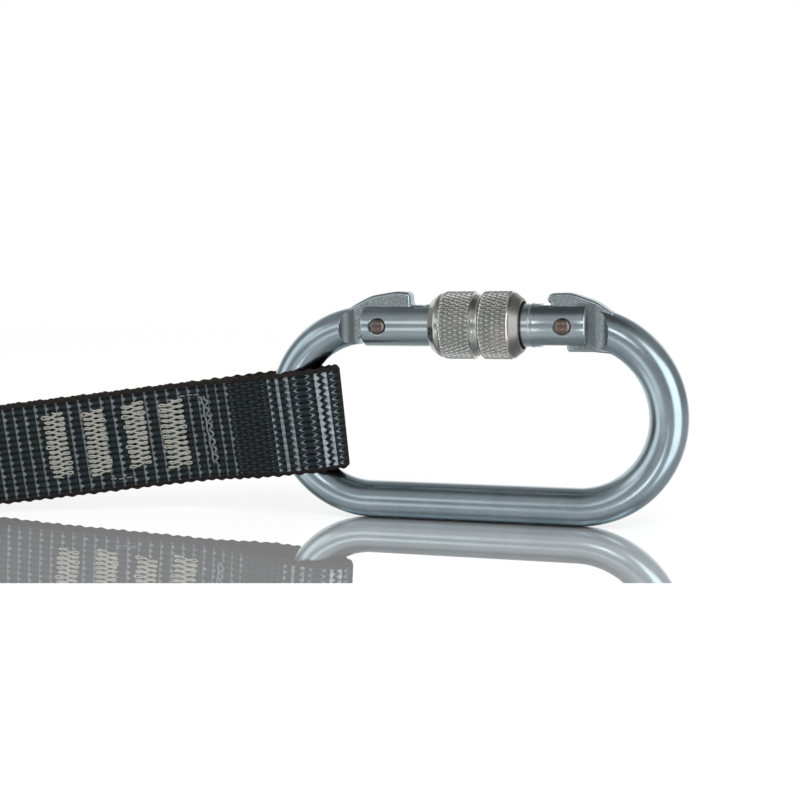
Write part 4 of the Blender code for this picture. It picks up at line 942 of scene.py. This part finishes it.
def hinge_outline():
    """The hinge tongue: hump above the gate, round cam inside it, heel below."""
    top = AXIS_Z + GATE_R + HINGE_RISE
    heel = AXIS_Z - GATE_R - HINGE_DROP
    over_gate = AXIS_Z + GATE_R + GAP
    turn = np.radians(np.linspace(60, 0, 9))
    arc = np.stack([HINGE_X - CAM_R * np.cos(turn), AXIS_Z - CAM_R * np.sin(turn)], 1)
    rest = rounded([
        (HINGE_X - CAM_R, over_gate, 0), (HINGE_HUMP_X, over_gate, 0.6 * MM),
        (HINGE_HUMP_X + 0.1 * MM, top, 1.5 * MM),
        (HINGE_HUMP_X + 5.9 * MM, top + 0.1 * MM, 7 * MM),
        (HINGE_MILL_X + 0.4 * MM, AXIS_Z + 5.9 * MM, 9 * MM),
        (HINGE_MILL_X + 4.6 * MM, AXIS_Z + 3.0 * MM, 0),
        (HINGE_MILL_X + 4.6 * MM, AXIS_Z - 7.0 * MM, 0),
        (HINGE_MILL_X - 0.6 * MM, heel, 2 * MM), (HEEL_X, heel, 0.8 * MM),
        (HEEL_X - 0.2 * MM, AXIS_Z - 4.4 * MM, 0)])
    return np.concatenate([rest, arc])


def plate(name, outline, bevel):
    """A flat upright tongue with a rounded rim: milled on its flanks, plated on the rim."""
    u, v = outline.T
    half = (TONGUE_T - 0.03 * MM) / 2
    rows = np.stack([upright(u, v, np.full(len(u), w)) for w in (-half, half)])
    made = skin(name, rows, material=milled, sharp=35)
    edge = made.modifiers.new("edge", "BEVEL")
    edge.width = bevel
    edge.segments = 3
    edge.limit_method = "ANGLE"
    edge.angle_limit = math.radians(50)
    edge.use_clamp_overlap = False
    made.data.materials.append(zinc)
    settle(made)
    rim = np.abs(of_faces(made.data, "normal")[:, 1]) <= 0.97
    made.data.polygons.foreach_set("material_index", rim.astype(np.int32))
    return made


def karabiner_body():
    bar = skin("karabiner_bar", bar_rows(), material=zinc, sharp=24)
    bar.data.materials.append(milled)
    centre = of_faces(bar.data, "center") - HOME
    limit = mill_limit(centre[:, 0], centre[:, 2])
    cut = (limit < BAR_R) & (np.abs(np.abs(centre[:, 1]) - limit) < 0.05 * MM)
    bar.data.polygons.foreach_set("material_index", cut.astype(np.int32))
    nose = plate("nose_plate", nose_outline(), 0.7 * MM)
    hinge = plate("hinge_plate", hinge_outline(), 0.5 * MM)
    body = join("karabiner_body_metal", [bar, nose, hinge])
    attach(body, "lanyard")
    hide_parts("karabiner_body")


def drill(obj, x, radius, y0, y1, sides=48):
    """Drills a round hole along Y, on the gate's axis at x."""
    angle = 2 * math.pi * np.arange(sides) / sides
    rows = np.stack([np.stack([HOME[0] + x + radius * np.cos(angle), HOME[1] + np.full(sides, y),
                               AXIS_Z + radius * np.sin(angle)], -1) for y in (y0, y1)])
    carve(obj, skin("cut", rows))


def slot(obj, x0, x1, z0):
    """Saws a slot for a tongue into the gate, from x0 to x1 and from z0 upwards."""
    half, z1 = TONGUE_T / 2 + GAP, AXIS_Z + 9 * MM
    rows = np.array([[[x0, -half, z], [x1, -half, z], [x1, half, z], [x0, half, z]]
                     for z in (AXIS_Z + z0, z1)])
    carve(obj, skin("cut", rows + HOME))


def karabiner_gate():
    """Turned tube with rounded ends, slotted over both tongues, spot faced at its rivets."""
    blind = SLEEVE_LEFT_X + 1.2 * MM
    turn = np.linspace(0, math.pi / 2, 6)
    soft = 0.5 * MM
    left = [(GATE_LEFT_X + soft * (1 - math.sin(a)), GATE_R - soft * (1 - math.cos(a)))
            for a in turn[::-1]]
    right = [(GATE_RIGHT_X - soft * (1 - math.sin(a)), GATE_R - soft * (1 - math.cos(a)))
             for a in turn]
    thread = [(THREAD_X + u * THREAD_HALF, GATE_R + THREAD_RISE * (1 - u * u) ** 2)
              for u in np.linspace(-1, 1, 9).tolist()]
    gate = revolve("karabiner_gate_metal",
                   [(GATE_LEFT_X, 0)] + left + thread + right
                   + [(GATE_RIGHT_X, BLIND_BORE_R), (blind, BLIND_BORE_R), (blind, 0)],
                   on_axis, 96, bright)
    slot(gate, GATE_LEFT_X - 3 * MM, NOSE_TIP_X + 4.3 * MM, -3.4 * MM)
    slot(gate, HINGE_X - 6 * MM, GATE_RIGHT_X + 3 * MM, -9 * MM)
    for x in (LATCH_X, HINGE_X):
        drill(gate, x, RIVET_SHAFT_R + GAP, -8 * MM, 8 * MM)
        for side in (-1, 1):
            drill(gate, x, 2.42 * MM, side * 4.95 * MM, side * 8 * MM)
    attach(gate, "gate")
    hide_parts("karabiner_gate")


def rivet(name, node, x, body):
    """Shaft with a domed head at each end; the dome is a quarter ellipse."""
    turn = np.linspace(0, math.pi / 2, 12)
    rise = GATE_R + RIVET_CROWN - RIVET_SEAT_Y
    half = [(RIVET_SEAT_Y, RIVET_SHAFT_R)] + [
        (RIVET_SEAT_Y + rise * math.sin(a), RIVET_HEAD_R * math.cos(a)) for a in turn]
    profile = [(-a, r) for a, r in reversed(half)] + half
    made = revolve(name, profile, lambda a, b, c: np.stack(
        [HOME[0] + x + b, HOME[1] + a, AXIS_Z + c], -1), 48, rivet_steel)
    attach(made, body)
    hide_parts(node)


def locking_sleeve():
    """Turned sleeve. Its radius follows the turned profile; inside the two bands crossed
    grooves, two triangle waves that run opposite ways round, leave a diamond knurl."""
    x0 = SLEEVE_LEFT_X
    turned = np.array([
        (0, 6.2), (0.15, 6.6), (0.5, 7.0), (2.2, 8.2), (2.9, 8.35), (3.3, 8.35), (3.6, 8.55),
        (11.3, 8.55), (11.6, 8.1), (12.1, 7.95), (12.9, 7.92), (13.4, 8.05), (13.9, 8.55),
        (21.1, 8.55), (21.4, 8.35), (21.7, 8.3), (23.2, 7.1), (23.7, 6.75), (23.8, 6.5)]) * MM
    bands = np.array(KNURL_BANDS) * MM
    rows_x = np.concatenate([np.linspace(0, 3.5 * MM, 15), np.linspace(*bands[0], 62),
                             np.linspace(11.4 * MM, 13.8 * MM, 14), np.linspace(*bands[1], 58),
                             np.linspace(21.2 * MM, SLEEVE_LEN, 14)])
    sides = KNURL_TEETH * 10
    x, angle = np.meshgrid(rows_x, 2 * math.pi * np.arange(sides) / sides, indexing="ij")
    base = np.interp(rows_x, *turned.T)[:, None]

    def tri(v):
        return np.abs((v % 1.0) * 2 - 1)

    way, step = KNURL_TEETH * angle / (2 * math.pi), x / KNURL_PITCH
    raised = np.minimum(tri(way + step), tri(way - step))
    inside = np.zeros_like(x)
    for low, high in bands:
        inside = np.maximum(inside, np.clip(np.minimum(x - low, high - x) / (0.3 * MM), 0, 1))
    radius = base + inside * (np.minimum(raised, 0.5) / 0.5 * 0.46 - 0.38) * MM
    outer = on_axis(x0 + x, radius * np.cos(angle), radius * np.sin(angle))
    bore_x = np.array([23.8, 23.4, 0.4, 0])[:, None] * MM
    bore_r = np.array([6.15, SLEEVE_BORE_R / MM, SLEEVE_BORE_R / MM, 6.1])[:, None] * MM
    bore = on_axis(x0 + bore_x + 0 * angle[:1], bore_r * np.cos(angle[:1]),
                   bore_r * np.sin(angle[:1]))
    sleeve = skin("locking_sleeve_metal", np.concatenate([outer, bore]), ring=True,
                  material=turned_steel, sharp=28)
    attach(sleeve, "sleeve")
    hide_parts("locking_sleeve")


karabiner_body()
karabiner_gate()
rivet("hinge_rivet_metal", "hinge_rivet", HINGE_X, "gate")
rivet("latch_rivet_metal", "latch_rivet", LATCH_X, "gate")
locking_sleeve()


# Attachment strap

strap_piece = attachment_strap(webbing_finish, webbing_inside)
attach(strap_piece, "lanyard")
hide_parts("attachment_strap")
strap_sewing()


# Pack

HEM = 9 * MM


def cover_at(along, angle, out=0.0):
    """A place on the cover: along it from 0 to 1, round it by an angle from the side, and out
    from its skin. Its section is a rounded oblong that swells between the two mouths."""
    near = np.clip(np.minimum(along, 1 - along) / 0.115, 0, 1)
    full = near * near * (3 - 2 * near)
    half_h = (MOUTH_H + (PACK_H - MOUTH_H) * full) / 2
    half_t = (MOUTH_T + (PACK_T - MOUTH_T) * full) / 2
    c, s = np.cos(angle), np.sin(angle)
    reach = (np.abs(c / half_t) ** 6 + np.abs(s / half_h) ** 6) ** (-1 / 6) + out
    x = PACK_RIGHT_X + (PACK_LEFT_X - PACK_RIGHT_X) * along
    z = np.maximum(half_h + reach * s, 0.15 * MM)
    return np.stack([x + 0 * c, PACK_Y + reach * c, z], -1) + HOME


def absorber_cover(material):
    """The cover's skin with its hems, a bound seam along the top, gathers beside the hems and
    soft wrinkles, and its plain inside."""
    length = PACK_RIGHT_X - PACK_LEFT_X
    along = np.linspace(0, 1, 170)[:, None]
    angle = 2 * math.pi * np.arange(144)[None] / 144
    from_end = np.minimum(along, 1 - along) * length
    hem = 1 / (1 + np.exp((from_end - HEM) / (0.25 * MM)))
    gather = np.exp(-((from_end - 13 * MM) / (5 * MM)) ** 2)
    calm = np.clip((from_end - HEM) / (12 * MM), 0, 1)
    folds = (0.5 * np.sin(5 * angle + 17 * along + 1.3 * np.sin(9 * along))
             + 0.4 * np.sin(8 * angle - 23 * along + 2.0)
             + 0.35 * np.sin(3 * angle + 31 * along + np.sin(2 * angle)))
    lip = np.exp(-((np.abs(angle - math.pi / 2) * 17 * MM) / (1.0 * MM)) ** 4)
    out = (0.45 * hem + 0.32 * gather * np.cos(22 * angle) + 0.5 * calm * folds
           + 1.2 * lip * (1 - hem)) * MM
    outside = cover_at(along, angle, out)
    inner = np.linspace(1, 0, 30)[:, None]
    inside = cover_at(inner, angle, -1.2 * MM)
    lengths = np.concatenate([along[:, 0], inner[:, 0] + 1]) * length
    skin_piece = skin("cover_skin", np.concatenate([outside, inside]), ring=True,
                      marks=(lengths, np.linspace(0, 104 * MM, 145)), material=material,
                      sharp=60)
    t = np.linspace(0, 1, 8)
    made = [skin_piece]
    bow = (0.3 * np.sin(math.pi * t) - 0.12) * MM
    for row in (7.4 * MM / length, 1 - 7.4 * MM / length):
        starts = np.linspace(0, 2 * math.pi, 30)[:-1, None]
        turn = starts + 0.15 * t
        path = cover_at(row + 0 * turn, turn, 0.5 * MM + bow)
        made.append(tubes("hem_stitches", path, 0.2 * MM, (1.0, 0.0, 0.0), thread_grey, 6))
    for turn in (math.pi / 2 - 0.18, math.pi / 2 + 0.18):
        share = np.linspace(0.09, 0.88, 26)[:, None] + 0.022 * t
        path = cover_at(share, turn + 0 * share, 0.35 * MM + bow)
        made.append(tubes("seam_stitches", path, 0.2 * MM, (0.0, 1.0, 0.0), thread_grey, 6))
    cover = join("absorber_cover_sewn", made)
    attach(cover, "lanyard")
    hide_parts("absorber_cover")


def tear_webbing(material):
    """Tear webbing in five runs to and fro inside the cover."""
    pitch = TEAR_T + 0.5 * MM
    right = float(strap_line(STRAP_LEN)[0]) - TEAR_T / 2 - GAP
    left = PACK_LEFT_X + 17 * MM
    bend = np.linspace(0, math.pi, 9)
    xs, ys = [[right]], [[-2 * pitch]]
    for run in range(4):
        way = -1 if run % 2 == 0 else 1
        end = left + pitch / 2 if way < 0 else right - pitch / 2
        xs.append(end + way * pitch / 2 * np.sin(bend))
        ys.append((run - 2) * pitch + pitch / 2 * (1 - np.cos(bend)))
    x, y = np.append(np.concatenate(xs), left), np.append(np.concatenate(ys), 2 * pitch)
    centres = np.stack([x, PACK_Y + y, np.full_like(x, MOUTH_H / 2 + 2 * GAP)], 1) + HOME
    web = strap("tear_webbing_run", centres, np.tile((0.0, 0.0, 1.0), (len(x), 1)), material,
                thickness=TEAR_T, step=0.8 * MM, across_step=1.4 * MM)
    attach(web, "lanyard")
    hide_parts("tear_webbing")


def hank_tie(material):
    """A ribbed band round the four runs of the hank, its ends sewn over each other."""
    half_y = LEG_OFFSET + WAIST_STEP + WEB_T / 2 + 3 * GAP + TIE_T / 2
    low, top = TIE_T / 2, TIE_T + 7 * GAP + WEB_W + TIE_T / 2
    turn = 2.7 * MM
    loop = rounded([(-half_y, low, turn), (half_y, low, turn), (half_y, top, turn),
                    (-half_y, top, turn)], 10)
    along, path = evenly(np.concatenate([loop, loop[:1]]), 0.5 * MM)
    path = path[:-1]
    run = np.roll(path, -1, 0) - np.roll(path, 1, 0)
    run /= np.linalg.norm(run, axis=1)[:, None]
    out = np.stack([run[:, 1], -run[:, 0]], 1)
    section, _ = strap_section(TIE_W, TIE_T, 0.6 * MM)
    c, h = section.T
    wave = 0.88 + 0.12 * np.cos(2 * math.pi * along[:-1] / (2.0 * MM))[:, None]
    lift = np.where(path[:, 1] < 2 * MM, 0.05 * MM, 0)[:, None]
    rows = np.stack([TIE_X + c[None] * (1.0 - 0.02 * (wave - 0.88)),
                     PACK_Y + path[:, :1] + out[:, :1] * h * wave,
                     path[:, 1:] + out[:, 1:] * h * wave + lift], -1) + HOME
    band = skin("tie_band_run", rows, ring=True, marks=(along[:-1], np.append(c, c[0])),
                material=material, sharp=70)

    def place(u, v, lift):
        return np.stack([TIE_X + v, np.full_like(v, PACK_Y - half_y - TIE_T / 2) - lift,
                         top / 2 + u], -1) + HOME, (0.0, -1.0, 0.0)

    sewn = [tack("tie_tack", place, (u * MM, 0.0), 13, 1.4 * MM, 5 * MM, u + 40)
            for u in (-6, 6)]
    tie = join("hank_tie_sewn", [band] + sewn)
    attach(tie, "lanyard")
    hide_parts("hank_tie")


cover_finish = cloth("cover_finish", (0.012, 0.014, 0.018), (0.035, 0.04, 0.046))
# The tear webbing gets the same painted highlights and painted shade as the dark webbing.
tear_finish = woven("tear_finish", (0.34, 0.30, 0.20), (0.62, 0.57, 0.42), (0.3, 0.26, 0.18))
tie_finish = cloth("tie_finish", (0.008, 0.008, 0.008), (0.04, 0.04, 0.042), 1.0 * MM)
hook_finish = plated_steel("hook_finish", (0.50, 0.55, 0.59), 0.3)
sheet_finish = plated_steel("sheet_finish", (0.58, 0.57, 0.52), 0.26)
absorber_cover(cover_finish)
tear_webbing(tear_finish)
hank_tie(tie_finish)


def dress(node, material):
    """Gives a CAD node its finish."""
    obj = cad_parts[node]
    obj.data.materials.clear()
    obj.data.materials.append(material)


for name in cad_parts:
    if name.endswith("hook_body"):
        dress(name, hook_finish)
    elif name.endswith("_gate") or name.endswith("_lever"):
        dress(name, sheet_finish)
    elif name.endswith("_rivet"):
        dress(name, rivet_steel)
    elif name.endswith("_spring") or name == "spring_plunger":
        dress(name, spring_steel)


# Table, backdrop and light

TABLE_EDGE = np.array([[-86.54, -77.23], [72.88, -43.16]]) * MM


def level_sheet(name, corners, material):
    """A level stage surface through four corners, anticlockwise from above."""
    mesh = bpy.data.meshes.new(name)
    mesh.from_pydata([(*corner, 0.0) for corner in corners], [], [[0, 1, 2, 3]])
    mesh.materials.append(material)
    obj = bpy.data.objects.new(name, mesh)
    bpy.context.scene.collection.objects.link(obj)


def pale_ground(name, seen_white):
    """Polished white ground that keeps the shadow: a clear mirror at a low glance that goes
    white as the eye looks down on it, and plain white far behind. Where seen_white is set only
    gloss sees the mirror, and the camera a matt white."""
    material = bpy.data.materials.new(name)
    material.use_nodes = True
    tree = material.node_tree
    tree.nodes.remove(tree.nodes["Principled BSDF"])
    root = Wire(tree)
    white = root.tool("BsdfDiffuse", None, {"Color": (1.0, 1.0, 1.0)})
    mirror = root.tool("BsdfGlossy", None, {"Color": (1, 1, 1), "Roughness": 0.0})
    down = 1 - root.tool("LayerWeight", None, {"Blend": 0.5}, out="Facing")
    seen = root.tool("LightPath")
    share = 0.19 + 0.77 * down.rise(0.30, 0.62) * seen
    ground = root.tool("MixShader", None, {0: share, 1: mirror, 2: white})
    if seen_white:
        ground = root.tool("MixShader", None, {0: seen, 1: ground, 2: white})
    else:
        glow = root.tool("Emission", None, {"Color": (1, 1, 1), "Strength": 1.0})
        far = root.tool("TexCoord", out=3).part("Y").rise(0.35, 0.9) * seen
        ground = root.tool("MixShader", None, {0: far, 1: ground, 2: glow})
    tree.links.new(ground.socket, tree.nodes["Material Output"].inputs["Surface"])
    return material


def glossy_table():
    """A polished table behind TABLE_EDGE, and plain white floor before it."""
    left, right = TABLE_EDGE + HOME[:2]
    run = (right - left) / np.linalg.norm(right - left)
    back = np.array([-run[1], run[0]])
    west, east = left - 4 * run, right + 4 * run
    level_sheet("table", [west, east, east + 6 * back, west + 6 * back],
                pale_ground("table_finish", False))
    level_sheet("floor", [west - 3 * back, east - 3 * back, east, west],
                pale_ground("floor_finish", True))


def studio():
    """World: white to the camera; for gloss, a white backdrop behind, soft boxes in front and
    to the sides over a grey room; for the rest, one plain level."""
    world = bpy.data.worlds.new("studio")
    bpy.context.scene.world = world
    world.use_nodes = True
    tree = world.node_tree
    root = Wire(tree)
    way = root.tool("TexCoord", out=0)
    x, y, z = way.part("X"), way.part("Y"), way.part("Z")
    level = (x * x + y * y) ** 0.5
    forward = -TO_CAMERA[:2] / np.linalg.norm(TO_CAMERA[:2])
    ahead = (x * float(forward[0]) + y * float(forward[1])) / level
    aside = (x * float(-forward[1]) + y * float(forward[0])) / level
    turn = root.math("ARCTAN2", aside, ahead * -1) * (180 / math.pi)
    high = z.math("ARCSINE", z) * (180 / math.pi)
    backdrop = ahead.rise(0.55, 0.75) * (1 - high.rise(26, 36))
    room = 0.31 - 0.23 * high.rise(50, 72)
    front_box = turn.band(0, 55, 12) * high.band(36, 15, 8)
    right_box = turn.band(-44, 20, 6) * (1 - (high - 0.39 * turn).rise(50, 57))
    left_box = turn.band(78, 11, 6) * high.band(10, 20, 8)
    low_box = turn.band(45, 15, 2) * high.band(17, 5, 5)
    spot = turn.band(13, 2, 6) * high.band(20, 2, 6)
    glow = room.most(backdrop).most(front_box * 0.42).most(right_box * 2.2)
    glow = glow.most(left_box * 1.3).most(low_box * 1.2).most(spot * 4.5)
    camera_ray = root.tool("LightPath")
    glossy_ray = Wire(tree, camera_ray.socket.node.outputs["Is Glossy Ray"])
    light = camera_ray.most(glossy_ray * glow).most((1 - glossy_ray) * (1 - camera_ray) * 0.8)
    tree.links.new(light.socket, tree.nodes["Background"].inputs["Strength"])
    tree.nodes["Background"].inputs["Color"].default_value = (1, 1, 1, 1)


def soft_lamp():
    """A square soft lamp to the right of the camera, aimed at the karabiner, unseen by gloss."""
    place = Vector((0.9, -0.9, 1.3))
    data = bpy.data.lights.new("key_lamp", "AREA")
    data.size = 0.8
    data.energy = 14
    lamp = bpy.data.objects.new("key_lamp", data)
    bpy.context.scene.collection.objects.link(lamp)
    aim = Vector(HOME) + Vector((0, 0, 0.03)) - place
    lamp.location = place
    lamp.rotation_euler = aim.to_track_quat("-Z", "Y").to_euler()
    lamp.visible_glossy = False


glossy_table()
studio()
soft_lamp()
bpy.context.scene.view_settings.view_transform = "Standard"
